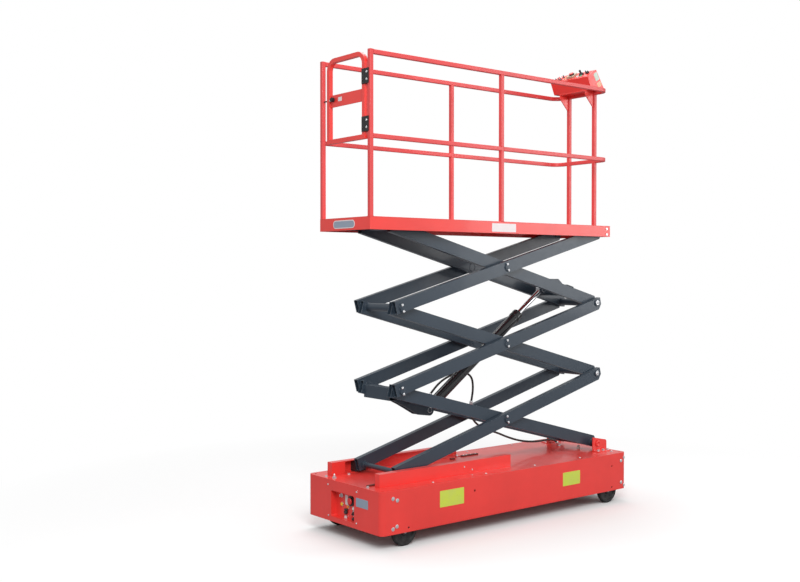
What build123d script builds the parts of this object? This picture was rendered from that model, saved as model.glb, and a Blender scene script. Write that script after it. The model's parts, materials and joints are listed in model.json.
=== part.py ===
from build123d import *
import os
from math import atan2, cos, degrees, radians, sin, tan

os.makedirs("parts", exist_ok=True)

# A pipe-rail scissor lift. +X runs from the gate end to the console end, +Z is up, and the
# right side is -Y. The origin is on the floor at the middle of the chassis. Millimetres.

# ---- Chassis -----------------------------------------------------------------------------
chassis_length = 2476
chassis_width = 855
chassis_bottom = 103            # height of the skirt's lower edge above the floor
chassis_height = 289
skirt_sheet = 4
skirt_corner_radius = 38
skirt_flange = 30               # width of the fold along the skirt's top edge
top_plate_gap = 1.5             # between the fold and the cover plate

window_width = 270              # recess for the base controls, in the gate-end panel
window_height = 180
window_middle_y = 10
window_middle_z = 228
window_corner_radius = 12
panel_recess = 42               # how deep the base controls' panel lies
box_depth = 92
box_sheet = 3
box_flange = 14

rail_width = 50                 # the two box rails that carry everything
rail_depth = 80
rail_clearance = 23.5           # between the rails and the wheels' steps
rail_wall = 4
gate_member_inset = 88          # end cross members, from the chassis's ends
console_member_inset = 78
middle_member_x = -60

pan_sheet = 3                   # belly pan between the rails
pan_to_gate_axle = 105          # from the pan's ends to the axles
pan_to_console_axle = 110
pan_floor_z = 112
pan_member_start = 40           # cross members over the pan, from its ends
pan_member_end = 100

battery_size = (560, 330, 210)
battery_gap = 60                # from the pan's gate end
hydraulic_size = (420, 300, 180)
hydraulic_gap = 420             # from the pan's console end

# ---- Wheelsets ---------------------------------------------------------------------------
wheel_radius = 100              # the disc that rolls on the floor beside the pipe
wheel_width = 40
wheel_edge = 8
tread_radius = 35               # the step that runs on top of the pipe
tread_width = 60
wheel_clearance = 35            # between the discs and the skirt
axle_diameter = 30
gate_axle_inset = 233           # axles, from the chassis's ends
console_axle_inset = 168
hanger_thickness = 12
hanger_width = 90
bearing_diameter = 62
bearing_length = 34

# ---- Scissor -----------------------------------------------------------------------------
scissor_angle = 15.75           # of the line through an arm's end pins
arm_pin_distance = 2087
fixed_pivot_x = 1100
fixed_pivot_z = 451
stages = 3
arm_depth = 90
arm_width = 40
arm_wall = 4
arm_overhang = 52               # past the end pins
arm_end_chamfer = 36            # on the outer corner of an arm's console end
top_end_chamfer = 20            # on the corners of the top stage that stand under the deck
pin_offset = 15                 # end pins lie this far off the tube's middle line
outer_arm_face = 235            # outer face of the outer arms, from the middle plane
arm_gap = 8                     # between the outer and the inner arms
end_pin_diameter = 35
centre_pin_diameter = 30
boss_diameter = 56
boss_proud = 3
cross_tube_diameter = 57
box_member_width = 64           # the first inner frame's box member, by its gate-end pins
box_member_depth = 88
box_member_shift = 9            # from the pins' line towards the gate end
box_member_drop = 30            # below the pins
hose_clip_x = 36
hose_clip_z = 781
hose_clip_length = 44
hose_clip_height = 18
hose_clip_width = 60
fit_clearance = 0.05            # radial, for pins and shafts
head_diameter = 46
head_thickness = 6
collar_diameter = 52
collar_length = 14
side_clearance = 0.5            # between washers, heads and what turns beside them

plate_clearance = 4             # from a boss to the plate or block beside it
bracket_back = 55               # lower pivot brackets, from the pivot towards the gate end
bracket_reach = 108             # and past the pivot
bracket_height = 112
bracket_end_height = 80

# ---- Slide tracks ------------------------------------------------------------------------
track_face = 303                # outer face of the lower tracks, from the middle plane
track_height = 91
track_lip_gap = 15              # between the outer arms and the tracks' lips
track_sheet = 4
lower_track_start_x = -1157
lower_track_end_x = 66
track_mouth_x = -1040           # the inner side is closed up to here
upper_track_start_x = -1150
upper_track_end_x = -520
slide_block_length = 96
upper_track_depth = 52
slide_block_clearance = 0.8

# ---- Platform ----------------------------------------------------------------------------
platform_start_x = -1226
platform_end_x = 1196
platform_width = 581
deck_z = 2201
pan_depth = 87
deck_sheet = 4
guard_height = 1100
mid_rail_height = 547
tube_size = 30
tube_wall = 2.5
tube_corner = 4
rail_bend_radius = 80
middle_post_x = -8
end_post_spacing = 270
upper_bracket_sheet = 8
bearer_places = (-420, 90, 600) # bars across the deck's underside: x
bearer_depth = 12
bearer_width = 50

# ---- Gate --------------------------------------------------------------------------------
gate_edge_right = -230          # outer edges of the gate's tube frame
gate_edge_left = 206
gate_bottom_height = 515        # above the deck
gate_bend_radius = 70
gate_plate_bottom = 766         # above the deck
gate_plate_height = 84
gate_plate_sheet = 6
latch_y = 142
latch_height = 818              # above the deck
latch_knob_diameter = 28
latch_knob_length = 22
latch_bolt_diameter = 10
latch_bolt_gap = 5              # between the bolt's end and the post
hinge_pin_diameter = 5
hinge_y = -240                  # hinge line, between the post and the gate's tube
knuckle_radius = 6.5
leaf_sheet = 6
leaf_gap = 2                    # between a hinge's two leaves
leaf_arm = 6                    # thickness of the arms from the leaves to the knuckles
post_leaf_edge = -278           # outer edges of the leaves
gate_leaf_edge = -204
hinge_height = 100
hinge_heights = (611, 927)      # above the deck

# ---- Console -----------------------------------------------------------------------------
console_width = 400
console_height = 159            # above the top rail
console_lip_height = 94
console_gusset_low = 136        # below the top rail, at the post
console_sheet = 3

# ---- Cylinder ----------------------------------------------------------------------------
barrel_diameter = 80
rod_diameter = 40
cylinder_foot = (-490, 830)     # x, z of the lower pin
cylinder_head = (700, 1690)     # x, z of the rod's eye
barrel_length = 1150            # from the lower pin to the gland's face
rod_inside = 430                # how far the rod reaches into the barrel
gland_diameter = 86
gland_length = 60
lug_thickness = 38
lug_diameter = 70
cylinder_pin_diameter = 30
port_distance = 80              # from the lower pin to the hose's port
port_rise = 20                  # of the port above the barrel's middle line
port_diameter = 26
port_face = 46                  # of the port, from the middle plane
ear_thickness = 12
ear_gap = 1.5                   # between a lug and the ears beside it

# ---- Hoses -------------------------------------------------------------------------------
hose_diameter = 16
hose_end_gap = 6                # between the hose's cut end and the cover plate

# ---- Derived sizes -----------------------------------------------------------------------
chassis_top = chassis_bottom + chassis_height
chassis_end = chassis_length / 2
skirt_inside = chassis_width / 2 - skirt_sheet
disc_start = skirt_inside - wheel_clearance - wheel_width
rail_face = disc_start - tread_width - rail_clearance
rail_spacing = 2 * rail_face - rail_width
gate_axle_x = gate_axle_inset - chassis_end
console_axle_x = chassis_end - console_axle_inset
pan_start_x = gate_axle_x + pan_to_gate_axle
pan_end_x = console_axle_x - pan_to_console_axle
battery_middle_x = pan_start_x + battery_gap + battery_size[0] / 2
hydraulic_middle_x = pan_end_x - hydraulic_gap - hydraulic_size[0] / 2
cross_member_x = (
    gate_member_inset - chassis_end,
    pan_start_x + pan_member_start,
    middle_member_x,
    pan_end_x - pan_member_end,
    chassis_end - console_member_inset,
)
angle = radians(scissor_angle)
stage_step = arm_pin_distance * sin(angle)
slide_pivot_x = fixed_pivot_x - arm_pin_distance * cos(angle)
centre_x = (fixed_pivot_x + slide_pivot_x) / 2
tube_tilt = degrees(atan2(2 * pin_offset, arm_pin_distance))
outer_arm_inside = outer_arm_face - arm_width
inner_arm_face = outer_arm_inside - arm_gap
inner_arm_inside = inner_arm_face - arm_width
upper_pivot_z = fixed_pivot_z + stages * stage_step
rail_top_z = chassis_top - skirt_sheet
deck_bottom_z = deck_z - pan_depth
guard_z = deck_z + guard_height
mid_rail_z = deck_z + mid_rail_height
post_y = platform_width / 2 - tube_size / 2


def save(part, name):
    """Label a finished piece and write its STEP file."""
    part.label = name
    export_step(part, f"parts/{name}.step")


def side_plane(x, y, z, tilt=0):
    """A plane seen from the right side, its x direction tilted up from +X by tilt degrees."""
    return Plane(origin=(x, y, z), x_dir=(cos(radians(tilt)), 0, sin(radians(tilt))), z_dir=(0, -1, 0))


# ============================== CHASSIS ===================================================
# Skirt: one sheet wrapped round the chassis, folded inwards along its top edge.
with BuildPart() as chassis_skirt:
    with BuildSketch(Plane.XY.offset(chassis_bottom)):
        RectangleRounded(chassis_length, chassis_width, skirt_corner_radius)
        offset(amount=-skirt_sheet, mode=Mode.SUBTRACT)
    extrude(amount=chassis_height)
    with BuildSketch(Plane.XY.offset(chassis_top - skirt_sheet)):
        RectangleRounded(chassis_length, chassis_width, skirt_corner_radius)
        offset(amount=-skirt_flange, mode=Mode.SUBTRACT)
    extrude(amount=skirt_sheet)
    # window for the base controls
    with BuildSketch(Plane.YZ.offset(-chassis_length / 2)):
        with Locations((window_middle_y, window_middle_z)):
            RectangleRounded(window_width, window_height, window_corner_radius)
    extrude(amount=skirt_sheet, mode=Mode.SUBTRACT)
    # round holes through both sides: (x, height above the lower edge, diameter)
    side_holes = (
        (gate_axle_x - 2, 29, 14),
        (-409, 196, 16),
        (console_axle_x - 4, 194, 14),
        (console_axle_x - 4, 28, 14),
    )
    for hole_x, hole_z, hole_d in side_holes:
        with BuildSketch(Plane.XZ.offset(-chassis_width / 2)):
            with Locations((hole_x, chassis_bottom + hole_z)):
                Circle(hole_d / 2)
        extrude(amount=chassis_width, mode=Mode.SUBTRACT)
save(chassis_skirt.part, "chassis_skirt")

# Frame: two box rails, cross members and the hangers that carry the axle bearings.
rail_length = chassis_length - 2 * skirt_sheet - 2 * top_plate_gap
with BuildPart() as chassis_frame:
    for side in (-1, 1):
        with BuildSketch(Plane.YZ.offset(-rail_length / 2)):
            with Locations((side * rail_spacing / 2, rail_top_z - rail_depth / 2)):
                Rectangle(rail_width, rail_depth)
                Rectangle(rail_width - 2 * rail_wall, rail_depth - 2 * rail_wall, mode=Mode.SUBTRACT)
        extrude(amount=rail_length)
    cross_length = rail_spacing - rail_width
    for member_x in cross_member_x:
        with BuildSketch(Plane.XZ.offset(-cross_length / 2)):
            with Locations((member_x, rail_top_z - rail_depth / 4)):
                Rectangle(rail_width, rail_depth / 2)
        extrude(amount=cross_length)
    hanger_top = rail_top_z - rail_depth
    for axle_x in (gate_axle_x, console_axle_x):
        for side in (-1, 1):
            hanger_y = side * rail_spacing / 2
            with BuildSketch(Plane.XZ.offset(-hanger_y - hanger_thickness / 2)):
                with BuildLine():
                    half = hanger_width / 2
                    foot = (axle_x - bearing_diameter / 2, wheel_radius)
                    foot_end = (axle_x + bearing_diameter / 2, wheel_radius)
                    Polyline(foot, (axle_x - half, hanger_top), (axle_x + half, hanger_top), foot_end)
                    ThreePointArc(foot_end, (axle_x, wheel_radius - bearing_diameter / 2), foot)
                make_face()
            extrude(amount=hanger_thickness)
            with BuildSketch(Plane.XZ.offset(-hanger_y - bearing_length / 2)):
                with Locations((axle_x, wheel_radius)):
                    Circle(bearing_diameter / 2)
            extrude(amount=bearing_length)
        with BuildSketch(Plane.XZ.offset(-chassis_width / 2)):
            with Locations((axle_x, wheel_radius)):
                Circle(axle_diameter / 2 + fit_clearance)
        extrude(amount=chassis_width, mode=Mode.SUBTRACT)
save(chassis_frame.part, "chassis_frame")

# Cover plate inside the skirt's fold, level with it.
with BuildPart() as top_plate:
    with BuildSketch(Plane.XY.offset(chassis_top - skirt_sheet)):
        plate_inset = skirt_flange + top_plate_gap
        RectangleRounded(
            chassis_length - 2 * plate_inset,
            chassis_width - 2 * plate_inset,
            skirt_corner_radius - skirt_sheet,
        )
    extrude(amount=skirt_sheet)
save(top_plate.part, "top_plate")

# Belly pan: a folded channel welded between the rails, closed at its ends.
pan_width = rail_spacing - rail_width
pan_top = rail_top_z - rail_depth / 2 - 1
with BuildPart() as belly_pan:
    with BuildSketch(Plane.XY.offset(pan_floor_z)):
        with Locations(((pan_start_x + pan_end_x) / 2, 0)):
            Rectangle(pan_end_x - pan_start_x, pan_width)
    extrude(amount=pan_top - pan_floor_z)
    opening = belly_pan.faces().sort_by(Axis.Z)[-1]
    offset(amount=-pan_sheet, openings=opening)
save(belly_pan.part, "belly_pan")

# Battery and hydraulic power pack: plain blocks of the real size, standing in the belly pan.
pack_floor = pan_floor_z + pan_sheet
with BuildPart() as battery_block:
    with BuildSketch(Plane.XY.offset(pack_floor)):
        with Locations((battery_middle_x, 0)):
            Rectangle(battery_size[0], battery_size[1])
    extrude(amount=battery_size[2])
    fillet(battery_block.edges().filter_by(Axis.Z), radius=8)
save(battery_block.part, "battery_block")

with BuildPart() as hydraulic_unit:
    with BuildSketch(Plane.XY.offset(pack_floor)):
        with Locations((hydraulic_middle_x, 0)):
            Rectangle(hydraulic_size[0], hydraulic_size[1])
    extrude(amount=hydraulic_size[2])
    fillet(hydraulic_unit.edges().filter_by(Axis.Z), radius=12)
save(hydraulic_unit.part, "hydraulic_unit")

# Lower tracks: channels open towards the middle, in which the slide blocks run.
lower_track_length = lower_track_end_x - lower_track_start_x
track_mouth = outer_arm_face + track_lip_gap
with BuildPart() as lower_tracks:
    for side in (-1, 1):
        with BuildSketch(Plane.YZ.offset(lower_track_start_x)):
            with BuildLine():
                Polyline(
                    (side * track_mouth, chassis_top),
                    (side * track_face, chassis_top),
                    (side * track_face, chassis_top + track_height),
                    (side * track_mouth, chassis_top + track_height),
                    (side * track_mouth, chassis_top + track_height - track_sheet),
                    (side * (track_face - track_sheet), chassis_top + track_height - track_sheet),
                    (side * (track_face - track_sheet), chassis_top + track_sheet),
                    (side * track_mouth, chassis_top + track_sheet),
                    close=True,
                )
            make_face()
        extrude(amount=lower_track_length)
        # closed box at the gate end
        with BuildSketch(Plane.YZ.offset(lower_track_start_x)):
            with Locations((side * (track_mouth + track_face) / 2, chassis_top + track_height / 2)):
                Rectangle(track_face - track_mouth, track_height)
        extrude(amount=track_sheet)
        with BuildSketch(Plane.YZ.offset(lower_track_start_x)):
            with Locations((side * (track_mouth + track_sheet / 2), chassis_top + track_height / 2)):
                Rectangle(track_sheet, track_height)
        extrude(amount=track_mouth_x - lower_track_start_x)
save(lower_tracks.part, "lower_tracks")

# Brackets that hold the lower fixed pivot, bolted to the cover plate.
bracket_inside = outer_arm_face + boss_proud + plate_clearance
bracket_sheet = 10
bracket_start_x = fixed_pivot_x - bracket_back
bracket_end_x = fixed_pivot_x + bracket_reach
bracket_top_z = chassis_top + bracket_height
bracket_end_z = chassis_top + bracket_end_height
bracket_corner = 20
bracket_foot = 70
with BuildPart() as pivot_brackets:
    for side in (-1, 1):
        plate_edge = max(side * bracket_inside, side * (bracket_inside + bracket_sheet))
        with BuildSketch(Plane.XZ.offset(-plate_edge)):
            with BuildLine():
                Polyline(
                    (bracket_start_x, chassis_top),
                    (bracket_start_x, bracket_top_z),
                    (bracket_end_x, bracket_end_z),
                    (bracket_end_x, chassis_top),
                    close=True,
                )
            make_face()
            fillet(vertices().group_by(Axis.X)[-1].sort_by(Axis.Y)[-1], bracket_corner)
            fillet(vertices().group_by(Axis.X)[0].sort_by(Axis.Y)[-1], bracket_corner / 3)
            with Locations((fixed_pivot_x, fixed_pivot_z)):
                Circle(end_pin_diameter / 2 + fit_clearance, mode=Mode.SUBTRACT)
        extrude(amount=bracket_sheet)
        # foot flange, turned outwards
        with BuildSketch(Plane.XY.offset(chassis_top)):
            with Locations(
                ((bracket_start_x + bracket_end_x) / 2, side * (bracket_inside + bracket_foot / 2))
            ):
                Rectangle(bracket_end_x - bracket_start_x, bracket_foot)
        extrude(amount=bracket_sheet / 2)
save(pivot_brackets.part, "pivot_brackets")

# Control box behind the window: a flanged pocket whose floor is the controls' panel, with a
# box for the wiring behind it, open at its back.
box_face_x = -chassis_length / 2 + skirt_sheet
with BuildPart() as base_control_box:
    with BuildSketch(Plane.YZ.offset(box_face_x)):
        with Locations((window_middle_y, window_middle_z)):
            Rectangle(window_width + 2 * box_flange, window_height + 2 * box_flange)
            RectangleRounded(window_width, window_height, window_corner_radius, mode=Mode.SUBTRACT)
    extrude(amount=box_sheet)
    with BuildSketch(Plane.YZ.offset(box_face_x)):
        with Locations((window_middle_y, window_middle_z)):
            pocket = RectangleRounded(window_width, window_height, window_corner_radius)
            offset(amount=box_sheet)
    extrude(amount=box_depth)
    with BuildSketch(Plane.YZ.offset(box_face_x)):
        with Locations((window_middle_y, window_middle_z)):
            RectangleRounded(window_width, window_height, window_corner_radius)
    extrude(amount=panel_recess, mode=Mode.SUBTRACT)
    with BuildSketch(Plane.YZ.offset(box_face_x + box_depth)):
        with Locations((window_middle_y, window_middle_z)):
            RectangleRounded(window_width, window_height, window_corner_radius)
    extrude(amount=panel_recess + box_sheet - box_depth, mode=Mode.SUBTRACT)
save(base_control_box.part, "base_control_box")

# Round controls on the recessed panel: (y, z, radius, length, cap radius, cap length)
panel_x = box_face_x + panel_recess
base_control_table = (
    (-67, 277, 15, 16, 21, 12),      # emergency stop
    (67, 290, 12, 14, 12, 4),        # key switch
    (50, 233, 11, 12, 11, 3),        # yellow button
    (-27, 229, 11, 12, 11, 3),       # orange button
    (-90, 232, 11, 12, 11, 3),       # white button
    (3, 186, 14, 12, 14, 6),         # socket
    (-84, 188, 12, 16, 16, 5),       # rotary switch
    (60, 180, 12, 10, 12, 3),        # gauge
)
with BuildPart() as base_controls:
    for knob_y, knob_z, stem_r, stem_len, cap_r, cap_len in base_control_table:
        with BuildSketch(Plane.YZ.offset(panel_x)):
            with Locations((knob_y, knob_z)):
                Circle(stem_r)
        extrude(amount=-stem_len)
        with BuildSketch(Plane.YZ.offset(panel_x - stem_len)):
            with Locations((knob_y, knob_z)):
                Circle(cap_r)
        extrude(amount=-cap_len)
save(base_controls.part, "base_controls")

# ============================== WHEELSETS =================================================
# Each axle turns with its two stepped wheels: the big disc rolls on the floor and guides the
# machine beside the pipe, and the step runs on top of the pipe.
for set_name, axle_x in (("gate", gate_axle_x), ("console", console_axle_x)):
    with BuildPart() as axle:
        axle_length = 2 * (disc_start + wheel_width)
        with BuildSketch(Plane.XZ.offset(-axle_length / 2)):
            with Locations((axle_x, wheel_radius)):
                Circle(axle_diameter / 2)
        extrude(amount=axle_length)
    save(axle.part, f"axle_{set_name}")

    with BuildPart() as wheels:
        for side in (-1, 1):
            # half section: distance from the middle plane, radius
            with BuildSketch(Plane.YZ.offset(axle_x)):
                with BuildLine():
                    inner_y = disc_start - tread_width
                    outer_y = disc_start + wheel_width
                    bore = axle_diameter / 2
                    Polyline(
                        (side * inner_y, wheel_radius + bore),
                        (side * inner_y, wheel_radius + tread_radius),
                        (side * (disc_start - 6), wheel_radius + tread_radius),
                        (side * disc_start, wheel_radius + tread_radius + 6),
                        (side * disc_start, 2 * wheel_radius - wheel_edge),
                        (side * (disc_start + wheel_edge), 2 * wheel_radius),
                        (side * (outer_y - wheel_edge), 2 * wheel_radius),
                        (side * outer_y, 2 * wheel_radius - wheel_edge),
                        (side * outer_y, 2 * wheel_radius - 24),
                        (side * (outer_y - 9), 2 * wheel_radius - 30),
                        (side * (outer_y - 9), wheel_radius + 34),
                        (side * outer_y, wheel_radius + 28),
                        (side * outer_y, wheel_radius + bore),
                        close=True,
                    )
                make_face()
            revolve(axis=Axis((axle_x, 0, wheel_radius), (0, 1, 0)))
    save(wheels.part, f"wheels_{set_name}")

# ============================== SCISSOR ===================================================
# Every arm is a rectangular tube with bosses for its three pins. The end pins lie on opposite
# sides of the tube's middle line, so the arms nest when the lift is down.
half_pins = arm_pin_distance / 2 * cos(radians(tube_tilt))
half_arm = half_pins + arm_overhang
tube_angle = scissor_angle - tube_tilt
outer_boss_face = outer_arm_face + boss_proud
box_member_x = slide_pivot_x - box_member_shift
box_member_z = fixed_pivot_z + stage_step - box_member_drop
inner_boss_face = outer_arm_inside - side_clearance

# name, +1 where the arm climbs towards +X, outer face, boss's outer and inner faces
arm_table = (
    ("inner_frame", -1, inner_arm_face, inner_boss_face, inner_arm_inside),
    ("outer_arms", 1, outer_arm_face, outer_boss_face, outer_arm_inside),
)
for stage in range(stages):
    middle_z = fixed_pivot_z + (stage + 0.5) * stage_step
    for kind, rise, arm_face, boss_outside, boss_inside in arm_table:
        pins = (
            (-half_pins, -rise * pin_offset, end_pin_diameter),
            (0, 0, centre_pin_diameter),
            (half_pins, rise * pin_offset, end_pin_diameter),
        )
        with BuildPart() as arms:
            for side in (-1, 1):
                near_edge = max(side * arm_face, side * (arm_face - arm_width))
                plane = side_plane(centre_x, near_edge, middle_z, rise * tube_angle)
                with BuildSketch(plane):
                    Rectangle(2 * half_arm, arm_depth)
                    end_corners = vertices().group_by(Axis.X)[-1].sort_by(Axis.Y)
                    chamfer(end_corners[0 if rise > 0 else -1], arm_end_chamfer)
                    if stage == stages - 1:
                        top_corners = vertices().group_by(Axis.Y)[-1].sort_by(Axis.X)
                        chamfer(top_corners[-1 if rise > 0 else 0], top_end_chamfer)
                extrude(amount=arm_width)
                with BuildSketch(plane.offset(arm_wall)):
                    Rectangle(2 * half_arm, arm_depth - 2 * arm_wall)
                extrude(amount=arm_width - 2 * arm_wall, mode=Mode.SUBTRACT)
                boss_edge = max(side * boss_outside, side * boss_inside)
                boss_plane = side_plane(centre_x, boss_edge, middle_z, rise * tube_angle)
                with BuildSketch(boss_plane):
                    for pin_x, pin_y, _ in pins:
                        with Locations((pin_x, pin_y)):
                            Circle(boss_diameter / 2)
                extrude(amount=boss_outside - boss_inside)
            if kind == "inner_frame":
                tube_plane = side_plane(centre_x, inner_arm_inside, middle_z, rise * tube_angle)
                round_ends = (pins[2],) if stage == 0 else (pins[0], pins[2])
                with BuildSketch(tube_plane):
                    for pin_x, pin_y, _ in round_ends:
                        with Locations((pin_x, pin_y)):
                            Circle(cross_tube_diameter / 2)
                extrude(amount=2 * inner_arm_inside)
            bore_plane = side_plane(centre_x, outer_arm_face * 2, middle_z, rise * tube_angle)
            with BuildSketch(bore_plane):
                for pin_x, pin_y, pin_diameter in pins:
                    with Locations((pin_x, pin_y)):
                        Circle(pin_diameter / 2 + fit_clearance)
            extrude(amount=outer_arm_face * 4, mode=Mode.SUBTRACT)
            if kind == "inner_frame" and stage == 0:
                # a box member across the gate end carries the cylinder's base bracket
                member_plane = side_plane(box_member_x, inner_arm_inside, box_member_z)
                with BuildSketch(member_plane):
                    Rectangle(box_member_width, box_member_depth)
                    hollow_width = box_member_width - 2 * arm_wall
                    Rectangle(hollow_width, box_member_depth - 2 * arm_wall, mode=Mode.SUBTRACT)
                extrude(amount=2 * inner_arm_inside)
                # block that clamps the hoses' couplings to the far arm
                clip_y = inner_arm_inside - hose_clip_width
                with BuildSketch(Plane.XZ.offset(-inner_arm_inside)):
                    with Locations((hose_clip_x, hose_clip_z)):
                        RectangleRounded(hose_clip_length, hose_clip_height, 4)
                extrude(amount=inner_arm_inside - clip_y)
        save(arms.part, f"{kind}_{stage + 1}")

    # centre pins: short, from the inner arm's inner face to a head outside the outer arm
    with BuildPart() as centre_pins:
        for side in (-1, 1):
            pin_edge = max(side * inner_arm_inside, side * (outer_boss_face + side_clearance))
            with BuildSketch(side_plane(centre_x, pin_edge, middle_z)):
                Circle(centre_pin_diameter / 2)
            extrude(amount=outer_boss_face + side_clearance - inner_arm_inside)
            head_edge = max(
                side * (outer_boss_face + side_clearance),
                side * (outer_boss_face + side_clearance + head_thickness),
            )
            with BuildSketch(side_plane(centre_x, head_edge, middle_z)):
                Circle(head_diameter / 2)
            extrude(amount=head_thickness)
    save(centre_pins.part, f"centre_pins_{stage + 1}")

# Shafts. Each passes right through, and has a washer head outside the last piece it carries.
bracket_face = bracket_inside + bracket_sheet
block_inside = outer_boss_face + plate_clearance
block_outside = track_face - track_sheet - slide_block_clearance
upper_block_inside = inner_boss_face + 3
upper_block_outside = upper_block_inside + 44
upper_plate_inside = outer_boss_face + plate_clearance
upper_plate_face = upper_plate_inside + upper_bracket_sheet
lower_end_z = [fixed_pivot_z + stage * stage_step for stage in range(stages)]
upper_end_z = [fixed_pivot_z + (stage + 1) * stage_step for stage in range(stages)]
# name, then for each shaft: x, z, where its head starts, head or no head, stub's inner end or 0
shaft_table = (
    (
        "end_shafts_1",
        (
            (fixed_pivot_x, lower_end_z[0], bracket_face, True, 0),
            (slide_pivot_x, upper_end_z[0], outer_boss_face, True, inner_arm_inside),
        ),
    ),
    (
        "end_shafts_2",
        (
            (fixed_pivot_x, lower_end_z[1], outer_boss_face, True, 0),
            (slide_pivot_x, upper_end_z[1], outer_boss_face, True, 0),
        ),
    ),
    (
        "end_shafts_3",
        (
            (fixed_pivot_x, lower_end_z[2], outer_boss_face, True, 0),
            (slide_pivot_x, upper_end_z[2], upper_block_outside - side_clearance, False, 0),
        ),
    ),
    (
        "lower_slide_shaft",
        ((slide_pivot_x, fixed_pivot_z, block_outside - side_clearance, False, 0),),
    ),
    ("upper_pivot_shaft", ((fixed_pivot_x, upper_pivot_z, upper_plate_face, True, 0),)),
)
for shaft_name, shafts in shaft_table:
    with BuildPart() as shaft:
        for shaft_x, shaft_z, last_face, headed, stub_start in shafts:
            reach = last_face + side_clearance
            with BuildSketch(side_plane(shaft_x, reach, shaft_z)):
                Circle(end_pin_diameter / 2)
            extrude(amount=reach - stub_start)
            with BuildSketch(side_plane(shaft_x, -stub_start, shaft_z)):
                Circle(end_pin_diameter / 2)
            extrude(amount=reach - stub_start)
            if headed:
                with BuildSketch(side_plane(shaft_x, reach + head_thickness, shaft_z)):
                    Circle(head_diameter / 2)
                extrude(amount=head_thickness)
                with BuildSketch(side_plane(shaft_x, -reach, shaft_z)):
                    Circle(head_diameter / 2)
                extrude(amount=head_thickness)
            if shaft_name in ("lower_slide_shaft", "upper_pivot_shaft"):
                # collars welded against the inner faces of the outer arms
                for collar_edge in (outer_arm_inside, -outer_arm_inside + collar_length):
                    with BuildSketch(side_plane(shaft_x, collar_edge, shaft_z)):
                        Circle(collar_diameter / 2)
                    extrude(amount=collar_length)
    save(shaft.part, shaft_name)

# Slide blocks: plastic blocks that turn on the shafts' ends and run in the tracks.
lower_block_height = track_height - 2 * track_sheet - 2 * slide_block_clearance
upper_block_height = upper_track_depth - 2 * track_sheet - 2 * slide_block_clearance
lower_track_middle_z = chassis_top + track_height / 2
block_table = (
    (
        "lower_slide_blocks",
        lower_track_middle_z,
        fixed_pivot_z,
        lower_block_height,
        block_inside,
        block_outside,
    ),
    (
        "upper_slide_blocks",
        upper_pivot_z,
        upper_pivot_z,
        upper_block_height,
        upper_block_inside,
        upper_block_outside,
    ),
)
for block_name, block_z, pin_z, block_height, inside, outside in block_table:
    with BuildPart() as blocks:
        for side in (-1, 1):
            with BuildSketch(side_plane(slide_pivot_x, max(side * inside, side * outside), block_z)):
                RectangleRounded(slide_block_length, block_height, 6)
                with Locations((0, pin_z - block_z)):
                    Circle(end_pin_diameter / 2 + fit_clearance, mode=Mode.SUBTRACT)
            extrude(amount=outside - inside)
    save(blocks.part, block_name)

# ============================== CYLINDER ==================================================
foot_x, foot_z = cylinder_foot
head_x, head_z = cylinder_head
cylinder_angle = degrees(atan2(head_z - foot_z, head_x - foot_x))
closed_length = ((head_x - foot_x) ** 2 + (head_z - foot_z) ** 2) ** 0.5
ear_inside = lug_thickness / 2 + ear_gap
ear_span = ear_inside + ear_thickness


def along(distance):
    """The point this far up the cylinder's middle line from its foot."""
    t = radians(cylinder_angle)
    return (foot_x + distance * cos(t), 0, foot_z + distance * sin(t))


def across(distance):
    """The plane square to the cylinder at that point."""
    t = radians(cylinder_angle)
    return Plane(origin=along(distance), x_dir=(0, 1, 0), z_dir=(cos(t), 0, sin(t)))


barrel_start = lug_diameter / 2 + 14
with BuildPart() as cylinder_barrel:
    with BuildSketch(side_plane(foot_x, lug_thickness / 2, foot_z, cylinder_angle)):
        Circle(lug_diameter / 2)
        with Locations((barrel_start / 2, 0)):
            Rectangle(barrel_start, lug_diameter - 10)
        Circle(cylinder_pin_diameter / 2 + fit_clearance, mode=Mode.SUBTRACT)
    extrude(amount=lug_thickness)
    with BuildSketch(across(barrel_start)):
        Circle(barrel_diameter / 2)
    extrude(amount=barrel_length - gland_length - barrel_start)
    with BuildSketch(across(barrel_length - gland_length)):
        Circle(gland_diameter / 2)
    extrude(amount=gland_length)
    rod_room = barrel_length - barrel_start - 20
    with BuildSketch(across(barrel_length - rod_room)):
        Circle(rod_diameter / 2 + fit_clearance)
    extrude(amount=rod_room, mode=Mode.SUBTRACT)
    # port boss on the far side, for the hose
    port_x, _, port_z = along(port_distance)
    with BuildSketch(side_plane(port_x, port_face, port_z, cylinder_angle)):
        with Locations((0, port_rise)):
            Circle(port_diameter / 2)
    extrude(amount=port_face - barrel_diameter / 4)
save(cylinder_barrel.part, "cylinder_barrel")

rod_start = barrel_length - rod_inside
with BuildPart() as cylinder_rod:
    with BuildSketch(across(rod_start)):
        Circle(rod_diameter / 2)
    extrude(amount=closed_length - rod_start - lug_diameter / 2 + 8)
    with BuildSketch(side_plane(head_x, lug_thickness / 2, head_z, cylinder_angle)):
        Circle(lug_diameter / 2)
        Circle(cylinder_pin_diameter / 2 + fit_clearance, mode=Mode.SUBTRACT)
    extrude(amount=lug_thickness)
save(cylinder_rod.part, "cylinder_rod")

# Brackets: a cross member between the inner arms, and two ears that hold the pin.
foot_eye = lug_diameter / 2 + 5
# outline of the base bracket's ears, from the box member down to the pin and back: (x, z)
box_member_face = box_member_x + box_member_width / 2
base_ear = (
    (box_member_face, 955),
    (-740, 884),
    (-600, 806),
    (foot_x, foot_z - foot_eye),
)
base_ear_top = (
    (-560, 915),
    (-700, 972),
    (box_member_face, 1010),
)
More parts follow.
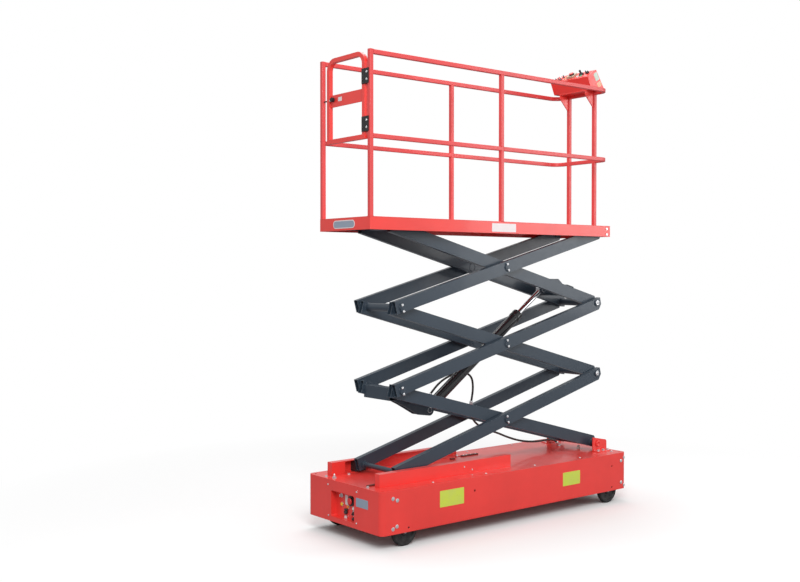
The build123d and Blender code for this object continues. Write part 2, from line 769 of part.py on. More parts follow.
# outline of the rod bracket's ears: (x, z)
rod_ear_top = (
    (790, 1776),
    (872, 1776),
    (938, 1722),
    (938, 1640),
    (840, 1645),
)
member_table = (
    # name, pin's x and z, member's x and z, width, depth, pin right through
    ("cylinder_base_bracket", foot_x, foot_z, -700, 934, 64, 64, True),
    ("cylinder_rod_bracket", head_x, head_z, 880, 1686, 74, 74, False),
)
for bracket_name, pin_x, pin_z, member_x, member_z, member_w, member_d, through in member_table:
    with BuildPart() as bracket:
        with BuildSketch(side_plane(member_x, inner_arm_inside, member_z, -tube_angle)):
            Rectangle(member_w, member_d)
            Rectangle(member_w - 2 * arm_wall, member_d - 2 * arm_wall, mode=Mode.SUBTRACT)
        extrude(amount=2 * inner_arm_inside)
        for ear_edge in (ear_span, -ear_inside):
            with BuildSketch(Plane.XZ.offset(-ear_edge)):
                with BuildLine():
                    if through:
                        Polyline(*base_ear)
                        ThreePointArc(
                            (foot_x, foot_z - foot_eye),
                            (foot_x + foot_eye, foot_z),
                            (foot_x, foot_z + foot_eye),
                        )
                        Polyline((foot_x, foot_z + foot_eye), *base_ear_top, base_ear[0])
                    else:
                        head_eye = lug_diameter / 2 - 2
                        ThreePointArc(
                            (head_x, head_z - head_eye),
                            (head_x - head_eye, head_z),
                            (head_x, head_z + head_eye),
                        )
                        Polyline(
                            (head_x, head_z + head_eye),
                            *rod_ear_top,
                            (head_x, head_z - head_eye),
                        )
                make_face()
            extrude(amount=ear_thickness)
        # pin: right through at the foot; at the head its two ends only, outside the ears
        with BuildSketch(side_plane(pin_x, ear_span + head_thickness, pin_z)):
            Circle(cylinder_pin_diameter / 2)
        if through:
            extrude(amount=2 * (ear_span + head_thickness))
        else:
            extrude(amount=head_thickness)
            with BuildSketch(side_plane(pin_x, -ear_span, pin_z)):
                Circle(cylinder_pin_diameter / 2)
            extrude(amount=head_thickness)
    save(bracket.part, bracket_name)

# ============================== HOSES =====================================================
# Two free hoses, coupled at the block on the first inner frame's far arm: (x, y, z)
hose_table = (
    # from the cylinder's port, behind the barrel, down to the block
    (
        "lift_hose",
        (
            (-434, 57, 905),
            (-374, 57, 968),
            (-300, 57, 1022),
            (-212, 58, 1058),
            (-118, 60, 1076),
            (-36, 64, 1066),
            (24, 72, 1024),
            (44, 82, 950),
            (44, 92, 880),
            (36, 104, 800),
        ),
    ),
    # from the block, sagging under the arms, to the chassis's cover plate
    (
        "supply_hose",
        (
            (36, 104, 764),
            (52, 104, 706),
            (118, 104, 646),
            (215, 104, 602),
            (320, 104, 571),
            (425, 104, 528),
            (540, 104, 490),
            (655, 104, 466),
            (775, 104, 455),
            (870, 104, 457),
            (940, 104, 456),
            (1000, 104, 435),
            (1034, 104, chassis_top + hose_end_gap),
        ),
    ),
)
for hose_name, route in hose_table:
    points = [Vector(*point) for point in route]
    runs = [(after - before) for before, after in zip(points, points[1:])]
    radii = []
    for run, next_run in zip(runs, runs[1:]):
        half_turn = radians(run.get_angle(next_run)) / 2
        radii.append(0.45 * min(run.length, next_run.length) / tan(half_turn))
    print(hose_name, "radii", [round(radius) for radius in radii])
    with BuildPart() as hose:
        with BuildLine():
            FilletPolyline(*route, radius=radii)
        with BuildSketch(Plane(origin=route[0], z_dir=runs[0])):
            Circle(hose_diameter / 2)
        sweep()
    save(hose.part, hose_name)

# ============================== PLATFORM ==================================================
platform_length = platform_end_x - platform_start_x
platform_middle_x = (platform_start_x + platform_end_x) / 2
corner_post_x = platform_start_x + tube_size / 2
end_post_x = platform_end_x - tube_size / 2
# each pair of posts: x, distance from the middle plane
post_places = (
    (corner_post_x, post_y),
    (middle_post_x, post_y),
    (end_post_x, end_post_spacing / 2),
)
with BuildPart() as deck_pan:
    with BuildSketch(Plane.XY.offset(deck_bottom_z)):
        with Locations((platform_middle_x, 0)):
            Rectangle(platform_length, platform_width)
    extrude(amount=pan_depth)
    offset(amount=-deck_sheet, openings=deck_pan.faces().sort_by(Axis.Z)[0])
    # notches that the posts' feet stand in
    with BuildSketch(Plane.XY.offset(deck_z - deck_sheet)):
        for post_x, post_offset in post_places:
            with Locations((post_x, -post_offset), (post_x, post_offset)):
                Rectangle(tube_size, tube_size)
    extrude(amount=deck_sheet, mode=Mode.SUBTRACT)
    # the deck plate lies on its rim and is seam welded to it
    split(bisect_by=Plane.XY.offset(deck_z - deck_sheet), keep=Keep.BOTH)
save(deck_pan.part, "deck_pan")

deck_under = deck_z - deck_sheet
with BuildPart() as deck_bearers:
    for bearer_x in bearer_places:
        with BuildSketch(Plane.XY.offset(deck_under - bearer_depth)):
            with Locations((bearer_x, 0)):
                Rectangle(bearer_width, platform_width - 2 * deck_sheet)
        extrude(amount=bearer_depth)
save(deck_bearers.part, "deck_bearers")

# Upper tracks under the deck, open towards the middle.
upper_web = upper_block_outside + slide_block_clearance
upper_lip = upper_block_inside + 8
upper_low = upper_pivot_z - upper_track_depth / 2
upper_high = upper_pivot_z + upper_track_depth / 2
with BuildPart() as upper_tracks:
    for side in (-1, 1):
        with BuildSketch(Plane.YZ.offset(upper_track_start_x)):
            with BuildLine():
                Polyline(
                    (side * upper_lip, upper_low),
                    (side * (upper_web + track_sheet), upper_low),
                    (side * (upper_web + track_sheet), deck_under),
                    (side * upper_web, deck_under),
                    (side * upper_web, upper_high),
                    (side * upper_lip, upper_high),
                    (side * upper_lip, upper_high - track_sheet),
                    (side * upper_web, upper_high - track_sheet),
                    (side * upper_web, upper_low + track_sheet),
                    (side * upper_lip, upper_low + track_sheet),
                    close=True,
                )
            make_face()
        extrude(amount=upper_track_end_x - upper_track_start_x)
save(upper_tracks.part, "upper_tracks")

# Plates that hang the upper fixed pivot from the deck.
with BuildPart() as upper_pivot_plates:
    for side in (-1, 1):
        plate_edge = max(side * upper_plate_inside, side * upper_plate_face)
        with BuildSketch(side_plane(fixed_pivot_x, plate_edge, upper_pivot_z)):
            with BuildLine():
                plate_top = deck_under - upper_pivot_z
                Polyline((-32, 0), (-50, plate_top), (50, plate_top), (32, 0))
                ThreePointArc((32, 0), (0, -32), (-32, 0))
            make_face()
            Circle(end_pin_diameter / 2 + fit_clearance, mode=Mode.SUBTRACT)
        extrude(amount=upper_bracket_sheet)
save(upper_pivot_plates.part, "upper_pivot_plates")

# Guard rail posts: square tubes standing in the deck's notches, closed at the top.
under_rail = guard_z - tube_size
post_foot_z = deck_z - deck_sheet
post_table = (
    ("gate_posts", guard_z),
    ("middle_posts", under_rail),
    ("end_posts", under_rail),
)
hollow = tube_size - 2 * tube_wall
for (post_name, post_top), (post_x, post_offset) in zip(post_table, post_places):
    with BuildPart() as posts:
        with BuildSketch(Plane.XY.offset(post_foot_z)):
            with Locations((post_x, -post_offset), (post_x, post_offset)):
                RectangleRounded(tube_size, tube_size, tube_corner)
        extrude(amount=post_top - post_foot_z)
        with BuildSketch(Plane.XY.offset(post_foot_z)):
            with Locations((post_x, -post_offset), (post_x, post_offset)):
                Rectangle(hollow, hollow)
        extrude(amount=post_top - post_foot_z - tube_wall, mode=Mode.SUBTRACT)
    save(posts.part, post_name)

# Top and middle rails: one square tube each, bent round the console end. The middle rail is
# cut where the posts pass it.
rail_start_x = platform_start_x + tube_size
rail_table = (
    ("top_rail", guard_z, ()),
    ("middle_rail", mid_rail_z, ((middle_post_x, post_y), (end_post_x, end_post_spacing / 2))),
)
for rail_name, rail_top, crossed in rail_table:
    rail_z = rail_top - tube_size / 2
    with BuildPart() as rail:
        with BuildLine():
            FilletPolyline(
                (rail_start_x, -post_y, rail_z),
                (end_post_x, -post_y, rail_z),
                (end_post_x, post_y, rail_z),
                (rail_start_x, post_y, rail_z),
                radius=rail_bend_radius,
            )
        with BuildSketch(Plane.YZ.offset(rail_start_x)):
            with Locations((-post_y, rail_z)):
                RectangleRounded(tube_size, tube_size, tube_corner)
                Rectangle(hollow, hollow, mode=Mode.SUBTRACT)
        sweep()
        for cross_x, cross_y in crossed:
            with BuildSketch(Plane.XY.offset(rail_top - tube_size)):
                with Locations((cross_x, -cross_y), (cross_x, cross_y)):
                    Rectangle(tube_size, tube_size)
            extrude(amount=tube_size, mode=Mode.SUBTRACT)
    save(rail.part, rail_name)

# ============================== GATE ======================================================
gate_low = deck_z + gate_bottom_height
gate_middle_y = (gate_edge_left + gate_edge_right) / 2
gate_width = gate_edge_left - gate_edge_right
with BuildPart() as gate_frame:
    for tube_x, inset, tube_mode in (
        (platform_start_x, 0, Mode.ADD),
        (platform_start_x + tube_wall, tube_wall, Mode.SUBTRACT),
    ):
        with BuildSketch(Plane.YZ.offset(tube_x)):
            with Locations((gate_middle_y, (gate_low + guard_z) / 2)):
                Rectangle(gate_width - 2 * inset, guard_z - gate_low - 2 * inset)
            outer_radius = gate_bend_radius + tube_size / 2 - inset
            fillet(vertices().group_by(Axis.Y)[-1], outer_radius)
            offset(amount=2 * inset - tube_size, mode=Mode.SUBTRACT)
        extrude(amount=tube_size - 2 * inset, mode=tube_mode)
save(gate_frame.part, "gate_frame")

gate_plate_x = platform_start_x + tube_size / 2 - gate_plate_sheet / 2
gate_plate_z = deck_z + gate_plate_bottom
latch_z = deck_z + latch_height
with BuildPart() as gate_plate:
    with BuildSketch(Plane.YZ.offset(gate_plate_x)):
        with Locations((gate_middle_y, gate_plate_z + gate_plate_height / 2)):
            Rectangle(gate_width - 2 * tube_size, gate_plate_height)
    extrude(amount=gate_plate_sheet)
save(gate_plate.part, "gate_plate")

with BuildPart() as gate_latch:
    # knob, then its bolt that reaches towards the post
    with BuildSketch(Plane.YZ.offset(gate_plate_x)):
        with Locations((latch_y, latch_z)):
            Circle(latch_knob_diameter / 2)
    extrude(amount=-latch_knob_length)
    with BuildSketch(Plane.XZ.offset(-gate_edge_left)):
        with Locations((platform_start_x + tube_size / 2, latch_z)):
            Circle(latch_bolt_diameter / 2)
    extrude(amount=gate_edge_left + latch_bolt_gap + tube_size / 2 - post_y)
save(gate_latch.part, "gate_latch")

# Hinges: a block leaf screwed to the post's face and one to the gate's. An arm from each
# reaches into the gap beside the tubes, to knuckles on the hinge line. The gate opens inwards.
hinge_x = platform_start_x + tube_size / 2
knuckle_third = hinge_height / 3
leaf_x = platform_start_x - leaf_sheet / 2
# name, +1 where the leaf lies on the gate's side, outer edge, its knuckles of the three
hinge_table = (
    ("hinge_leaves_post", -1, post_leaf_edge, (-1, 1)),
    ("hinge_leaves_gate", 1, gate_leaf_edge, (0,)),
)
for hinge_name, toward, leaf_edge, knuckles in hinge_table:
    with BuildPart() as leaves:
        for hinge_mid in hinge_heights:
            hinge_low = deck_z + hinge_mid - hinge_height / 2
            inner_edge = hinge_y + toward * leaf_gap / 2
            with BuildSketch(Plane.XY.offset(hinge_low)):
                with Locations((leaf_x, (leaf_edge + inner_edge) / 2)):
                    Rectangle(leaf_sheet, abs(leaf_edge - inner_edge))
            extrude(amount=hinge_height)
            for knuckle in knuckles:
                knuckle_low = deck_z + hinge_mid + (knuckle - 0.5) * knuckle_third
                with BuildSketch(Plane.XY.offset(knuckle_low + side_clearance)):
                    arm_y = inner_edge + toward * leaf_arm / 2
                    with Locations(((platform_start_x + hinge_x) / 2, arm_y)):
                        Rectangle(hinge_x - platform_start_x, leaf_arm)
                    with Locations((hinge_x, hinge_y)):
                        Circle(knuckle_radius)
                extrude(amount=knuckle_third - 2 * side_clearance)
            bore_radius = hinge_pin_diameter / 2
            if toward > 0:
                bore_radius += fit_clearance
            with BuildSketch(Plane.XY.offset(hinge_low)):
                with Locations((hinge_x, hinge_y)):
                    Circle(bore_radius)
            extrude(amount=hinge_height, mode=Mode.SUBTRACT)
            if toward < 0:
                with BuildSketch(Plane.XY.offset(hinge_low + side_clearance)):
                    with Locations((hinge_x, hinge_y)):
                        Circle(hinge_pin_diameter / 2)
                extrude(amount=hinge_height - 2 * side_clearance)
    save(leaves.part, hinge_name)

# ============================== CONSOLE ===================================================
# Console: a sheet box on the end posts' bracket, open below. Its top slopes towards the
# operator, and its back slopes down to the rail. (x, z) of its side
console_front_x = platform_end_x - 128
console_profile = (
    (console_front_x, guard_z),
    (console_front_x - 43, guard_z + console_lip_height),
    (platform_end_x - 71, guard_z + console_height),
    (platform_end_x + 28, guard_z + 17),
    (platform_end_x + 28, guard_z),
)
with BuildPart() as console_box:
    with BuildSketch(Plane.XZ.offset(-console_width / 2)):
        with BuildLine():
            Polyline(*console_profile, close=True)
        make_face()
    extrude(amount=console_width)
    offset(amount=-console_sheet, openings=console_box.faces().sort_by(Axis.Z)[0])
save(console_box.part, "console_box")

console_bracket_sheet = 8
post_face = platform_end_x - tube_size
bracket_plate_z = guard_z - console_bracket_sheet
bracket_length = post_face - console_front_x
with BuildPart() as console_bracket:
    with BuildSketch(Plane.XY.offset(bracket_plate_z)):
        with Locations(((console_front_x + post_face) / 2, 0)):
            Rectangle(bracket_length, end_post_spacing + tube_size)
    extrude(amount=console_bracket_sheet)
    for side in (-1, 1):
        gusset_y = side * end_post_spacing / 2 + console_bracket_sheet / 2
        with BuildSketch(Plane.XZ.offset(-gusset_y)):
            with BuildLine():
                Polyline(
                    (post_face, guard_z - console_gusset_low),
                    (post_face, bracket_plate_z),
                    (console_front_x, bracket_plate_z),
                    (console_front_x, bracket_plate_z - 31),
                    close=True,
                )
            make_face()
        extrude(amount=console_bracket_sheet)
save(console_bracket.part, "console_bracket")

# Controls on the sloping panel: (distance up the slope, y, stem radius, stem length, cap radius, cap length)
slope_start, slope_end = console_profile[1], console_profile[2]
panel_tilt = atan2(slope_end[1] - slope_start[1], slope_end[0] - slope_start[0])
console_table = (
    (60, 60, 12, 10, 20, 12),
    (60, -20, 8, 26, 13, 26),
    (88, -90, 9, 14, 9, 10),
    (88, -130, 9, 14, 9, 10),
    (36, 130, 16, 8, 16, 6),
)
with BuildPart() as console_controls:
    for slope, knob_y, stem_r, stem_len, cap_r, cap_len in console_table:
        foot_of_knob = (
            slope_start[0] + slope * cos(panel_tilt),
            knob_y,
            slope_start[1] + slope * sin(panel_tilt),
        )
        panel = Plane(
            origin=foot_of_knob,
            x_dir=(0, 1, 0),
            z_dir=(-sin(panel_tilt), 0, cos(panel_tilt)),
        )
        with BuildSketch(panel):
            Circle(stem_r)
        extrude(amount=stem_len)
        with BuildSketch(panel.offset(stem_len)):
            Circle(cap_r)
        extrude(amount=cap_len)
save(console_controls.part, "console_controls")
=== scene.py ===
import json
import math

import bpy
import numpy as np
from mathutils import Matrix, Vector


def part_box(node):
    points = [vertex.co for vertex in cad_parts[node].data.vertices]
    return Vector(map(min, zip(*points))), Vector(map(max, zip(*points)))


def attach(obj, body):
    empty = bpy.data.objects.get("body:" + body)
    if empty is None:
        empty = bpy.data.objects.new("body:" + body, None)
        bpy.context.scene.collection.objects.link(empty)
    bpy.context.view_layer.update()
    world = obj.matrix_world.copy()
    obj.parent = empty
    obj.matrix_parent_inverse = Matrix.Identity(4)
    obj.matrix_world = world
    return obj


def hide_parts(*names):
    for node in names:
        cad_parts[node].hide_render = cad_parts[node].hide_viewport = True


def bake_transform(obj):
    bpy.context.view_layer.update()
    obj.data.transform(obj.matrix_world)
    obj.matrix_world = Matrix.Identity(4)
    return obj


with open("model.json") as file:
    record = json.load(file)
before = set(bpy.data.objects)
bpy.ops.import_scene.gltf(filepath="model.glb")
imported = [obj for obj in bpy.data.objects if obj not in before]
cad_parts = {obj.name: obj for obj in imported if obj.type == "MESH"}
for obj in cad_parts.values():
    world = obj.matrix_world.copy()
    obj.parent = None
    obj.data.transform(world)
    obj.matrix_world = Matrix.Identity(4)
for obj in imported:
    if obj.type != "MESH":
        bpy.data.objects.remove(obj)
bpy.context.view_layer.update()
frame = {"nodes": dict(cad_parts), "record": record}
node = frame["nodes"]
scene = bpy.context.scene


# ---- hydraulic hoses
# Two rubber pressure hoses with crimped steel ends. One curls from the cylinder's port to a
# block on the lowest inner arm, the other hangs from that block down to the chassis.
def piece(name, parts, material, body, smooth=True):
    """One object from several (vertices, faces) surfaces, set end to end in one mesh."""
    verts = np.concatenate([part[0] for part in parts])
    starts = np.cumsum([0] + [len(part[0]) for part in parts[:-1]])
    faces = [[start + i for i in face] for part, start in zip(parts, starts.tolist()) for face in part[1]]
    mesh = bpy.data.meshes.new(name)
    mesh.from_pydata(verts.tolist(), [], faces)
    mesh.polygons.foreach_set("use_smooth", np.full(len(mesh.polygons), smooth))
    mesh.update()
    mesh.materials.append(material)
    obj = bpy.data.objects.new(name, mesh)
    scene.collection.objects.link(obj)
    if body:
        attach(obj, body)
    return obj


def basis(axis):
    """Three unit vectors: two square to the axis, then the axis."""
    w = np.asarray(axis, float) / np.linalg.norm(axis)
    helper = (0, 0, 1.0) if abs(w[2]) < 0.9 else (1.0, 0, 0)
    u = np.cross(helper, w)
    u /= np.linalg.norm(u)
    return u, np.cross(w, u), w


def between_rings(rows, sides):
    """The four-sided faces that join each ring of points to the next."""
    i, j = np.meshgrid(np.arange(rows - 1) * sides, np.arange(sides), indexing="ij")
    k = (j + 1) % sides
    return np.stack([i + j, i + k, i + sides + k, i + sides + j], 2).reshape(-1, 4).tolist()


def turned(profile, at, axis, sides=24, phase=0.0):
    """Surface of revolution: each (height, radius) of the profile, carried round the axis.
    The first and last radius are closed with a point on the axis."""
    profile = np.asarray(profile, float)
    u, v, w = basis(axis)
    turn = phase + np.arange(sides) * 2 * math.pi / sides
    ring = np.cos(turn)[:, None] * u + np.sin(turn)[:, None] * v
    at = np.asarray(at, float)
    rings = at + profile[:, 0, None, None] * w + profile[:, 1, None, None] * ring
    poles = [at + profile[0, 0] * w, at + profile[-1, 0] * w]
    verts = np.concatenate([rings.reshape(-1, 3), poles])
    j = np.arange(sides)
    k = (j + 1) % sides
    high = len(verts) - 1
    last = (len(profile) - 1) * sides
    low_cap = np.stack([np.full(sides, high - 1), k, j], 1)
    high_cap = np.stack([np.full(sides, high), last + j, last + k], 1)
    return verts, between_rings(len(profile), sides) + low_cap.tolist() + high_cap.tolist()


def new_material(name, base, roughness, metallic=0.0, coat=0.0, specular=0.5):
    """A Principled material with its constants set, ready for more nodes."""
    material = bpy.data.materials.new(name)
    material.use_nodes = True
    inputs = material.node_tree.nodes["Principled BSDF"].inputs
    inputs["Base Color"].default_value = (*base, 1)
    inputs["Roughness"].default_value = roughness
    inputs["Metallic"].default_value = metallic
    inputs["Coat Weight"].default_value = coat
    inputs["Coat Roughness"].default_value = 0.08
    inputs["Specular IOR Level"].default_value = specular
    return material


def nodes_of(material):
    """The material's node tree and its Principled shader."""
    return material.node_tree, material.node_tree.nodes["Principled BSDF"]


def add_node(tree, kind, given=None, **settings):
    """A shader node with its settings. Each input given is a constant or an output to link."""
    made = tree.nodes.new("ShaderNode" + kind)
    for name, value in settings.items():
        setattr(made, name, value)
    for socket, value in (given or {}).items():
        if isinstance(value, bpy.types.NodeSocket):
            tree.links.new(value, made.inputs[socket])
        else:
            made.inputs[socket].default_value = value
    return made


def add_noise(tree, scale, detail=4.0, rough=0.55, stretch=(1, 1, 1)):
    """Noise over the piece's own Object coordinates, in metres."""
    coords = add_node(tree, "TexCoord").outputs["Object"]
    stretched = add_node(tree, "Mapping", {"Vector": coords, "Scale": stretch}).outputs["Vector"]
    given = {"Vector": stretched, "Scale": scale, "Detail": detail, "Roughness": rough}
    return add_node(tree, "TexNoise", given).outputs["Fac"]


def add_ramp(tree, value, stops):
    """A colour ramp over a value: (position, grey or colour) stops."""
    ramp = add_node(tree, "ValToRGB", {"Fac": value})
    while len(ramp.color_ramp.elements) < len(stops):
        ramp.color_ramp.elements.new(0.5)
    for element, (position, colour) in zip(ramp.color_ramp.elements, stops):
        element.position = position
        colour = (colour,) * 3 if isinstance(colour, (int, float)) else colour
        element.color = (*colour, 1)
    return ramp.outputs["Color"]


def vary(material, socket, scale, stops, **noise):
    """Drive one of the shader's sockets by a colour ramp over noise of this scale."""
    tree, shader = nodes_of(material)
    tree.links.new(add_ramp(tree, add_noise(tree, scale, **noise), stops), shader.inputs[socket])


def grain(material, scale, strength, distance, detail=2.0):
    """Fine noise of this scale, bumping the shader's normal."""
    tree, shader = nodes_of(material)
    height = add_noise(tree, scale, detail)
    bump = add_node(tree, "Bump", {"Strength": strength, "Distance": distance, "Height": height})
    tree.links.new(bump.outputs["Normal"], shader.inputs["Normal"])


hose_rubber = new_material("hose_rubber", (0.022, 0.021, 0.020), 0.55)
vary(hose_rubber, "Base Color", 70.0, [(0.3, (0.016, 0.015, 0.014)), (0.75, (0.05, 0.047, 0.043))])
vary(hose_rubber, "Roughness", 45.0, [(0.3, 0.45), (0.7, 0.68)])
grain(hose_rubber, 900.0, 0.25, 0.0004)

zinc = new_material("zinc_plate", (0.75, 0.76, 0.77), 0.32, metallic=0.85)
vary(zinc, "Base Color", 60.0, [(0.25, (0.62, 0.63, 0.65)), (0.8, (0.86, 0.87, 0.88))])
vary(zinc, "Roughness", 150.0, [(0.3, 0.24), (0.75, 0.46)])
grain(zinc, 700.0, 0.2, 0.0003)

hose_diameter = 0.016
port_fitting = (-0.434, 0.057, 0.905)
chassis_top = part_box("top_plate")[1][2]
bulkhead_x, bulkhead_y = 1.034, 0.104
# each hose: its top and foot bodies, where it starts and ends following the second, its route
hose_table = (
    (
        "lift_hose",
        ("inner_1", "barrel"),
        ((0.02, 0.08, 0.98), (-0.38, 0.057, 0.99)),
        (
            port_fitting, (-0.374, 0.057, 0.968), (-0.300, 0.057, 1.022), (-0.212, 0.058, 1.058),
            (-0.118, 0.060, 1.076), (-0.036, 0.064, 1.066), (0.024, 0.072, 1.024),
            (0.044, 0.082, 0.950), (0.044, 0.092, 0.880), (0.036, 0.104, 0.800),
        ),
    ),
    (
        "supply_hose",
        ("chassis", "inner_1"),
        ((0.80, 0.104, 0.455), (0.12, 0.104, 0.64)),
        (
            (0.036, 0.104, 0.764), (0.052, 0.104, 0.706), (0.118, 0.104, 0.646),
            (0.215, 0.104, 0.602), (0.320, 0.104, 0.571), (0.425, 0.104, 0.528),
            (0.540, 0.104, 0.490), (0.655, 0.104, 0.466), (0.775, 0.104, 0.455),
            (0.870, 0.104, 0.457), (0.940, 0.104, 0.456), (1.000, 0.104, 0.435),
            (bulkhead_x, bulkhead_y, chassis_top + 0.006),
        ),
    ),
)


def spline_line(name, route):
    """The smooth line through a route's control points, as an array of points: an order 3
    NURBS spline that starts and ends on the first and last point."""
    curve = bpy.data.curves.new(name, "CURVE")
    curve.dimensions = "3D"
    curve.resolution_u = 12
    spline = curve.splines.new("NURBS")
    spline.points.add(len(route) - 1)
    weights = np.ones((len(route), 1))
    spline.points.foreach_set("co", np.hstack([np.array(route), weights]).ravel())
    spline.order_u = 3
    spline.use_endpoint_u = True
    holder = bpy.data.objects.new(name, curve)
    scene.collection.objects.link(holder)
    mesh = bpy.data.meshes.new_from_object(holder)
    line = np.empty(len(mesh.vertices) * 3)
    mesh.vertices.foreach_get("co", line)
    bpy.data.objects.remove(holder)
    return line.reshape(-1, 3)


def tube(line, radius, sides=16, away=(0.0, 1.0, 0.0)):
    """A round tube along a line of points. At each point a ring of that radius stands square
    to the line, set out from ahead x away, where the line never runs along away."""
    ahead = np.gradient(line, axis=0)
    ahead /= np.linalg.norm(ahead, axis=1)[:, None]
    side = np.cross(ahead, away)
    side /= np.linalg.norm(side, axis=1)[:, None]
    rise = np.cross(side, ahead)
    turn = np.arange(sides) * 2 * math.pi / sides
    ring = np.cos(turn)[None, :, None] * side[:, None] + np.sin(turn)[None, :, None] * rise[:, None]
    verts = (line[:, None] + radius * ring).reshape(-1, 3)
    verts = np.concatenate([verts, line[[0, -1]]])
    i = np.arange(len(line) - 1)[:, None] * sides
    j = np.arange(sides)[None, :]
    k = (j + 1) % sides
    quads = np.stack([i + j, i + sides + j, i + sides + k, i + k], 2).reshape(-1, 4)
    low, high, last = len(verts) - 2, len(verts) - 1, (len(line) - 1) * sides
    j, k = j[0], k[0]
    first_cap = np.stack([np.full(sides, low), j, k], 1)
    last_cap = np.stack([np.full(sides, high), last + k, last + j], 1)
    return verts, quads.tolist() + first_cap.tolist() + last_cap.tolist()


# crimped end: a ribbed ferrule over the hose, closed on its stem. (height, radius)
ferrule_profile = (
    (0.000, 0.0080), (0.000, 0.0112), (0.003, 0.0124), (0.012, 0.0124), (0.014, 0.0115),
    (0.016, 0.0124), (0.025, 0.0124), (0.027, 0.0115), (0.029, 0.0124), (0.038, 0.0124),
    (0.041, 0.0105), (0.041, 0.0070),
)


def hexagon(at, axis, across, height, phase=0.0):
    """A hexagon nut or bolt head: six corners at radius across / sqrt 3, drawn in to the
    across-flats circle at both faces."""
    corner = across / math.sqrt(3)
    eased = across / 2 * 1.02
    profile = ((0, eased), (height * 0.12, corner), (height * 0.86, corner), (height, eased))
    return turned(profile, at, axis, 6, phase)


def hose_end(line):
    """Ferrule and nut on a hose's end, standing along the first stretch of its line."""
    at, inward = line[0], line[6] - line[0]
    inward = inward / np.linalg.norm(inward)
    return [
        turned(ferrule_profile, at + 0.004 * inward, inward, 24),
        hexagon(at - 0.012 * inward, inward, 0.022, 0.014),
    ]


for hose_name, (top_body, foot_body), (start, end), route in hose_table:
    line = spline_line(hose_name + "_line", route)
    hose = piece(hose_name + "_rubber", [tube(line, hose_diameter / 2, 20)], hose_rubber, None)
    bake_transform(hose)
    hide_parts(hose_name)
    ends = []
    for end_name, way, body in (("foot", line, foot_body), ("top", line[::-1], top_body)):
        fitting = piece(f"{hose_name}_{end_name}_fitting", hose_end(way), zinc, body)
        ends.append(fitting)

# ---- camera and studio
# Eye level with the middle of the machine, a short telephoto view onto its gate end. A white
# floor runs out into a white surround, under wide soft lamps.
camera_data = bpy.data.cameras.new("camera")
camera_data.lens = 46.557
camera_data.sensor_width = 36
camera_data.clip_end = 200
camera = bpy.data.objects.new("camera", camera_data)
camera.location = (-5.345, -5.732, 1.833)
camera.rotation_euler = (math.radians(88.935), 0, math.radians(-38.779))
scene.collection.objects.link(camera)
scene.camera = camera
scene.view_settings.view_transform = "Standard"

full_white = (1, 1, 1, 1)
world = bpy.data.worlds.new("studio")
scene.world = world
world.use_nodes = True
tree = world.node_tree
tree.nodes.clear()
sky = add_node(tree, "Background", {"Color": full_white, "Strength": 0.60}).outputs[0]
seen = add_node(tree, "Background", {"Color": full_white, "Strength": 1.0}).outputs[0]
camera_ray = add_node(tree, "LightPath").outputs["Is Camera Ray"]
mix = add_node(tree, "MixShader", {"Fac": camera_ray, 1: sky, 2: seen})
add_node(tree, "OutputWorld", {"Surface": mix.outputs[0]})

# what the floor throws back onto the machine is a darker floor's light
floor_material = new_material("studio_floor", (0.9, 0.9, 0.9), 0.9, specular=0.0)
fade_start, fade_end = 1.6, 4.2
tree, shader = nodes_of(floor_material)
coords = add_node(tree, "TexCoord").outputs["Object"]
away = add_node(tree, "VectorMath", {0: coords}, operation="LENGTH").outputs["Value"]
fade = {"Value": away, "From Min": fade_start, "From Max": fade_end}
faded = add_node(tree, "MapRange", fade).outputs["Result"]
camera_ray = add_node(tree, "LightPath").outputs["Is Camera Ray"]
far_seen = add_node(tree, "Math", {0: faded, 1: camera_ray}, operation="MULTIPLY").outputs[0]
white = add_node(tree, "Emission", {"Color": full_white, "Strength": 1.0}).outputs[0]
dim = add_node(tree, "BsdfDiffuse", {"Color": (0.34, 0.34, 0.35, 1)}).outputs[0]
near = add_node(tree, "MixShader", {"Fac": camera_ray, 1: dim, 2: shader.outputs[0]}).outputs[0]
mix = add_node(tree, "MixShader", {"Fac": far_seen, 1: near, 2: white}).outputs[0]
tree.links.new(mix, tree.nodes["Material Output"].inputs["Surface"])

half = 60.0
corners = [(-half, -half, 0), (half, -half, 0), (half, half, 0), (-half, half, 0)]
floor_mesh = bpy.data.meshes.new("floor")
floor_mesh.from_pydata(corners, [], [(0, 1, 2, 3)])
floor = bpy.data.objects.new("floor", floor_mesh)
scene.collection.objects.link(floor)
floor_mesh.materials.append(floor_material)

# each lamp: name, place, aim, width, height, watts
lamp_table = (
    ("key_lamp", (-4.5, -5.5, 5.5), (0, 0, 1.8), 3.5, 3.5, 400),
    ("fill_lamp", (5.5, -4.5, 3.2), (0, 0, 1.6), 3.0, 4.0, 130),
    ("top_lamp", (0.5, 1.5, 7.0), (0, 0, 1.6), 4.0, 4.0, 175),
)
for lamp_name, place, aim, width, height, watts in lamp_table:
    light = bpy.data.lights.new(lamp_name, "AREA")
    light.shape = "RECTANGLE"
    light.size = width
    light.size_y = height
    light.energy = watts
    lamp = bpy.data.objects.new(lamp_name, light)
    lamp.location = place
    x, y, z = np.array(aim, float) - np.array(place, float)
    lamp.rotation_euler = (math.atan2(math.hypot(x, y), -z), 0, math.atan2(y, x) - math.pi / 2)
    scene.collection.objects.link(lamp)
